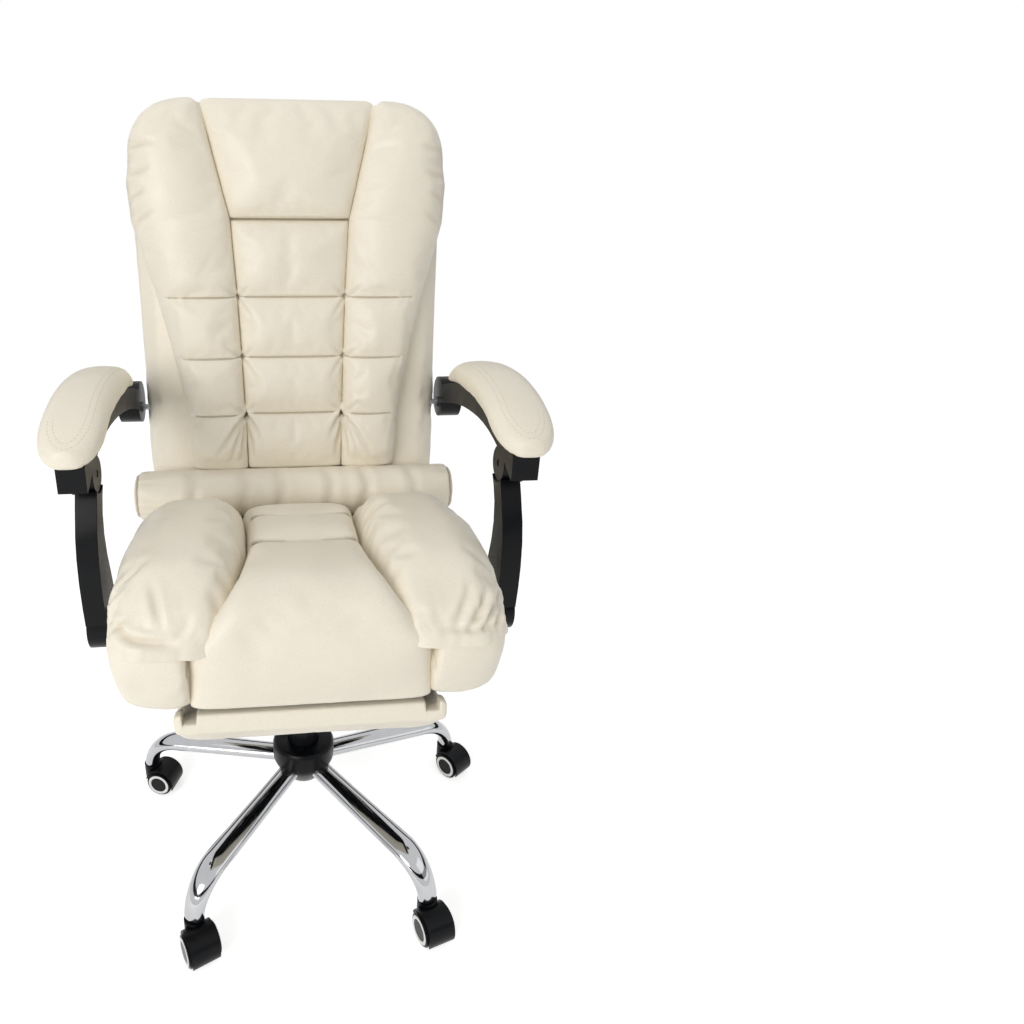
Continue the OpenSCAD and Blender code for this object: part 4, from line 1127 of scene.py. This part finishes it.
class CHAIR_OT_base(bpy.types.Operator):
    """Casts the five-leg base: one leg is drawn out along its arch, rounded and copied"""
    bl_idname = "chair.base"
    bl_label = "Star Base"

    def execute(self, context):
        size = settings("base")
        stations = [self.station(t, size) for t in np.linspace(0, 1, 34)]
        clear_selection()
        bpy.ops.mesh.primitive_circle_add(vertices=20, radius=1, fill_type="NGON", location=(0, 0, 0))
        leg = context.object
        leg.rotation_euler = (0, math.radians(90), 0)
        leg.scale = (size.leg_depth / 2, stations[0][2] / 2, 1)
        settle(leg)
        leg.rotation_euler = (0, stations[0][1], 0)
        leg.location = stations[0][0]
        settle(leg)
        grow_from_faces()
        for (before, turn_a, wide_a), (after, turn_b, wide_b) in zip(stations, stations[1:]):
            bpy.ops.mesh.extrude_region_move(TRANSFORM_OT_translate={"value": after - before})
            bpy.ops.transform.rotate(value=turn_a - turn_b, orient_axis="Y", center_override=after)
            bpy.ops.transform.resize(value=(1, wide_b / wide_a, 1), center_override=after)
        bpy.ops.object.mode_set(mode="OBJECT")
        leg = outward(leg)
        apply_modifier(leg, "BEVEL", width=0.004, segments=3, angle_limit=math.radians(60))
        divide(leg)
        legs = [leg]
        for k in range(1, 5):
            copy = leg.copy()
            copy.data = leg.data.copy()
            context.scene.collection.objects.link(copy)
            copy.rotation_euler = (0, 0, math.radians(90 + 72 * k))
            copy.location = (0, COLUMN_Y, 0)
            legs.append(copy)
        leg.rotation_euler = (0, 0, math.radians(90))
        leg.location = (0, COLUMN_Y, 0)
        clear_selection()
        for part in legs:
            part.select_set(True)
        context.view_layer.objects.active = leg
        bpy.ops.object.join()
        leg.name = "cast_star_base"
        settle(leg)
        smooth_by_angle(leg, 35)
        finish_hard(leg, "base", "bright_chrome", "chrome", "star_base")
        self.hub(context)
        for k in range(1, 6):
            self.neck(context, k)
        return {"FINISHED"}

    def hub(self, context):
        """The cup on the hub: a disc is drawn up through its rings."""
        clear_selection()
        foot, radius = 0.091, 0.025
        bpy.ops.mesh.primitive_circle_add(vertices=96, radius=radius, fill_type="NGON",
                                          location=(0, COLUMN_Y, foot))
        cup = context.object
        settle(cup)
        grow_from_faces()
        for height, wide in ((0.095, 0.030), (0.103, 0.036), (0.114, 0.0435), (0.124, 0.0495), (0.131, 0.0525),
                             (0.136, 0.0530), (0.160, 0.0530), (0.166, 0.0490)):
            bpy.ops.mesh.extrude_region_move(TRANSFORM_OT_translate={"value": (0, 0, height - foot)})
            bpy.ops.transform.resize(value=(wide / radius, wide / radius, 1),
                                     center_override=(0, COLUMN_Y, height))
            foot, radius = height, wide
        bpy.ops.object.mode_set(mode="OBJECT")
        cup = outward(cup)
        cup.name = "base_hub"
        clear_selection()
        bpy.ops.mesh.primitive_cylinder_add(vertices=96, radius=0.0254, depth=0.106,
                                            location=(0, COLUMN_Y, 0.147))
        core = settle(context.object)
        cut_away(cup, core)
        apply_modifier(cup, "BEVEL", width=0.002, segments=3, limit_method="ANGLE",
                       angle_limit=math.radians(30))
        smooth_by_angle(cup, 40)
        finish_hard(cup, "base", "moulded_nylon", "black_plastic", "hub_cover")

    def neck(self, context, k):
        """The full neck of a caster's hood, cut round its wheels."""
        joints = {joint["name"]: joint for joint in frame["record"]["behaviour"]["joints"]}
        stem = joints["caster_swivel_%d" % k]["pos_m"]
        axle, way = joints["wheel_%d" % k]["pos_m"], joints["wheel_%d" % k]["axis"]
        clear_selection()
        bpy.ops.mesh.primitive_cylinder_add(vertices=64, radius=0.0150, depth=0.026,
                                            location=(stem[0], stem[1], 0.0400))
        neck = context.object
        neck.name = "caster_neck_%d" % k
        settle(neck)
        clear_selection()
        bpy.ops.mesh.primitive_cylinder_add(vertices=96, radius=0.0262, depth=0.08, location=axle,
                                            rotation=Vector(way).to_track_quat("Z", "Y").to_euler())
        barrel = settle(context.object)
        cut_away(neck, barrel)
        apply_modifier(neck, "BEVEL", width=0.0012, segments=3, limit_method="ANGLE",
                       angle_limit=math.radians(40))
        smooth_by_angle(neck, 35)
        finish_hard(neck, "caster_%d" % k, "moulded_nylon", "black_plastic")

    def station(self, t, size):
        """Place, slope and width of the leg at a share t of its length."""
        radius, slope, end = 0.062, math.radians(4), math.radians(86)
        arch_x = size.stem_radius - radius * math.sin(end)
        arch_z = 0.0545 - radius * math.cos(end)
        if t < 0.5:
            turn = slope
            run = between(0.026, arch_x + radius * math.sin(slope), t * 2)
            rise = arch_z + radius * math.cos(slope) + (arch_x - run) * math.tan(slope)
        else:
            turn = between(slope, end, t * 2 - 1)
            run = arch_x + radius * math.sin(turn)
            rise = arch_z + radius * math.cos(turn)
        wide = between(36, 43, ease(t / 0.55)) if t < 0.55 else between(43, 33, ease((t - 0.55) / 0.45))
        return Vector((run, 0, rise)), turn, float(wide) * MM


class CHAIR_OT_arm_mouldings(bpy.types.Operator):
    """Rounds and smooths the moulded posts and frames of the arms"""
    bl_idname = "chair.arm_mouldings"
    bl_label = "Arm Mouldings"

    def execute(self, context):
        for side in ("left", "right"):
            for node, name, body in (("arm_post_", "post_moulding_", "post_"),
                                     ("arm_frame_", "frame_moulding_", "arm_")):
                refine(node + side, name + side, body + side, "moulded_nylon", "black_plastic", 0.003, 4)
        return {"FINISHED"}


class CHAIR_OT_finishes(bpy.types.Operator):
    """Mixes the finishes and gives the frame's rigid pieces theirs"""
    bl_idname = "chair.finishes"
    bl_label = "Finishes"

    def execute(self, context):
        p = settings("finishes")
        leather_finish(p)
        thread_finish()
        plastic_finish("moulded_nylon", p.plastic, "#0E1013", 0.30, 0.9, 0.08)
        plastic_finish("black_enamel", "#101114", "#1A1B1F", 0.28, 1.4, 0.06)
        plastic_finish("white_abs", "#E9E9E6", "#F4F4F2", 0.25, 1.2, 0.04)
        plastic_finish("dust_cloth", "#1B1B1C", "#262627", 0.85, 1.6, 0.5)
        metal_finish("bright_chrome", "#B2B3B6", "#C2C3C5", 0.06, 0.06, 14.0)
        metal_finish("zinc_plate", "#8E9196", "#A9ABAF", 0.28, 0.08, 60.0)
        wood_finish()
        looks = {"chrome": "bright_chrome", "black_plastic": "moulded_nylon", "black_steel": "black_enamel",
                 "steel": "zinc_plate", "plywood": "birch_plywood", "white_trim": "white_abs",
                 "cream_leather": "pu_leather"}
        for part in frame["record"]["subparts"]:
            name, slot = part["node"], part["material_slot"]
            looks["plywood"] = "dust_cloth" if name == "seat_board" else "birch_plywood"
            soften_node(name, looks[slot], width=0.0 if slot in ("cream_leather", "plywood") else 0.0009)
        return {"FINISHED"}


class CHAIR_OT_studio(bpy.types.Operator):
    """Sets up the floor, the soft lights and the camera"""
    bl_idname = "chair.studio"
    bl_label = "Studio"

    def execute(self, context):
        s = settings("studio")
        scene = context.scene
        plastic_finish("studio_dark", "#050505", "#0A0A0A", 0.9, 5.0, 0.01)
        studio_finish("studio_floor", "#F2F2F1", 0.60)
        clear_selection()
        bpy.ops.mesh.primitive_plane_add(size=60, location=(0, 0, 0))
        floor = context.object
        floor.name = "studio_floor"
        dress(floor, "studio_floor")
        self.dark_band(context)
        self.light("key", (-1.9, -2.7, 1.7), 1.8, s.key)
        self.light("fill", (2.4, -1.4, 1.6), 2.2, s.fill)
        self.light("top", (-0.3, 0.3, 3.0), 1.6, s.fill)
        world = scene.world or bpy.data.worlds.new("studio")
        scene.world = world
        world.use_nodes = True
        tree = world.node_tree
        tree.nodes.clear()
        level = span(world, seen_directly(world), 0.0, 1.0, s.sky, 1.0)
        glow = add(world, "ShaderNodeBackground", {"Color": (1, 1, 1, 1), "Strength": level})
        add(world, "ShaderNodeOutputWorld", {"Surface": glow.outputs[0]})
        scene.view_settings.view_transform = "Standard"
        self.camera(scene)
        return {"FINISHED"}

    def dark_band(self, context):
        """A dark band all round, seen only in reflections: it draws the dark stripe along the chrome."""
        clear_selection()
        bpy.ops.mesh.primitive_cylinder_add(vertices=96, radius=3.4, depth=0.75, end_fill_type="NOTHING",
                                            location=(0, 0, 1.30))
        band = context.object
        band.name = "studio_dark_band"
        dress(band, "studio_dark")
        band.visible_camera = False
        band.visible_diffuse = False
        band.visible_shadow = False
        band.visible_transmission = False

    def light(self, name, place, size, power):
        lamp = bpy.data.lights.new(name, "AREA")
        lamp.size = size
        lamp.energy = power
        lamp.color = (1.0, 0.985, 0.965)
        holder = bpy.data.objects.new(name, lamp)
        holder.location = place
        holder.rotation_mode = "QUATERNION"
        holder.rotation_quaternion = (Vector((0, 0, 0.6)) - Vector(place)).to_track_quat("-Z", "Y")
        bpy.context.scene.collection.objects.link(holder)

    def camera(self, scene):
        """The camera at the photograph's angle: focal length and centre in pixels of its square frame."""
        picture, lens_px, centre = 1024, 704.86, (336.62, 482.34)
        yaw, pitch, roll = math.radians(-5.557), math.radians(20.219), math.radians(0.265)
        place = Vector((-0.0413, -1.0060 + COLUMN_Y, 1.0111))
        level = math.cos(pitch)
        forward = Vector((-math.sin(yaw) * level, math.cos(yaw) * level, -math.sin(pitch)))
        right = Vector((math.cos(yaw), math.sin(yaw), 0))
        up = right.cross(forward)
        turned_right = math.cos(roll) * right + math.sin(roll) * up
        turned_up = -math.sin(roll) * right + math.cos(roll) * up
        data = bpy.data.cameras.new("front_camera")
        data.sensor_width = 36
        data.lens = lens_px * 36 / picture
        data.shift_x = (picture / 2 - centre[0]) / picture
        data.shift_y = (centre[1] - picture / 2) / picture
        holder = bpy.data.objects.new("front_camera", data)
        turn = Matrix((turned_right, turned_up, -forward)).transposed().to_4x4()
        holder.matrix_world = Matrix.Translation(place) @ turn
        scene.collection.objects.link(holder)
        scene.camera = holder


class CHAIR_PT_panel(bpy.types.Panel):
    """Lists the chair's steps in the order they are run"""
    bl_idname = "CHAIR_PT_panel"
    bl_label = "Reclining Chair"
    bl_space_type = "VIEW_3D"
    bl_region_type = "UI"
    bl_category = "Chair"

    def draw(self, context):
        for step in STEPS:
            self.layout.operator(step.bl_idname)


STEPS = (CHAIR_OT_finishes, CHAIR_OT_studio, CHAIR_OT_base, CHAIR_OT_back_cover, CHAIR_OT_back_shell,
         CHAIR_OT_roll, CHAIR_OT_seat, CHAIR_OT_arm_mouldings, CHAIR_OT_arm_pads, CHAIR_OT_footrest_pad)
GROUPS = (("finishes", CHAIR_PG_finishes), ("upholstery", CHAIR_PG_upholstery), ("base", CHAIR_PG_base),
          ("studio", CHAIR_PG_studio))


def register():
    for _, group in GROUPS:
        bpy.utils.register_class(group)
    for step in STEPS:
        bpy.utils.register_class(step)
    bpy.utils.register_class(CHAIR_PT_panel)
    for name, group in GROUPS:
        setattr(bpy.types.Scene, "chair_" + name, PointerProperty(type=group))


def unregister():
    for name, _ in GROUPS:
        delattr(bpy.types.Scene, "chair_" + name)
    bpy.utils.unregister_class(CHAIR_PT_panel)
    for step in reversed(STEPS):
        bpy.utils.unregister_class(step)
    for _, group in reversed(GROUPS):
        bpy.utils.unregister_class(group)


def main():
    register()
    for step in STEPS:
        area, name = step.bl_idname.split(".")
        if "FINISHED" not in getattr(getattr(bpy.ops, area), name)():
            raise RuntimeError(step.bl_label + " didn't finish")
    clear_selection()


if __name__ == "__main__":
    main()
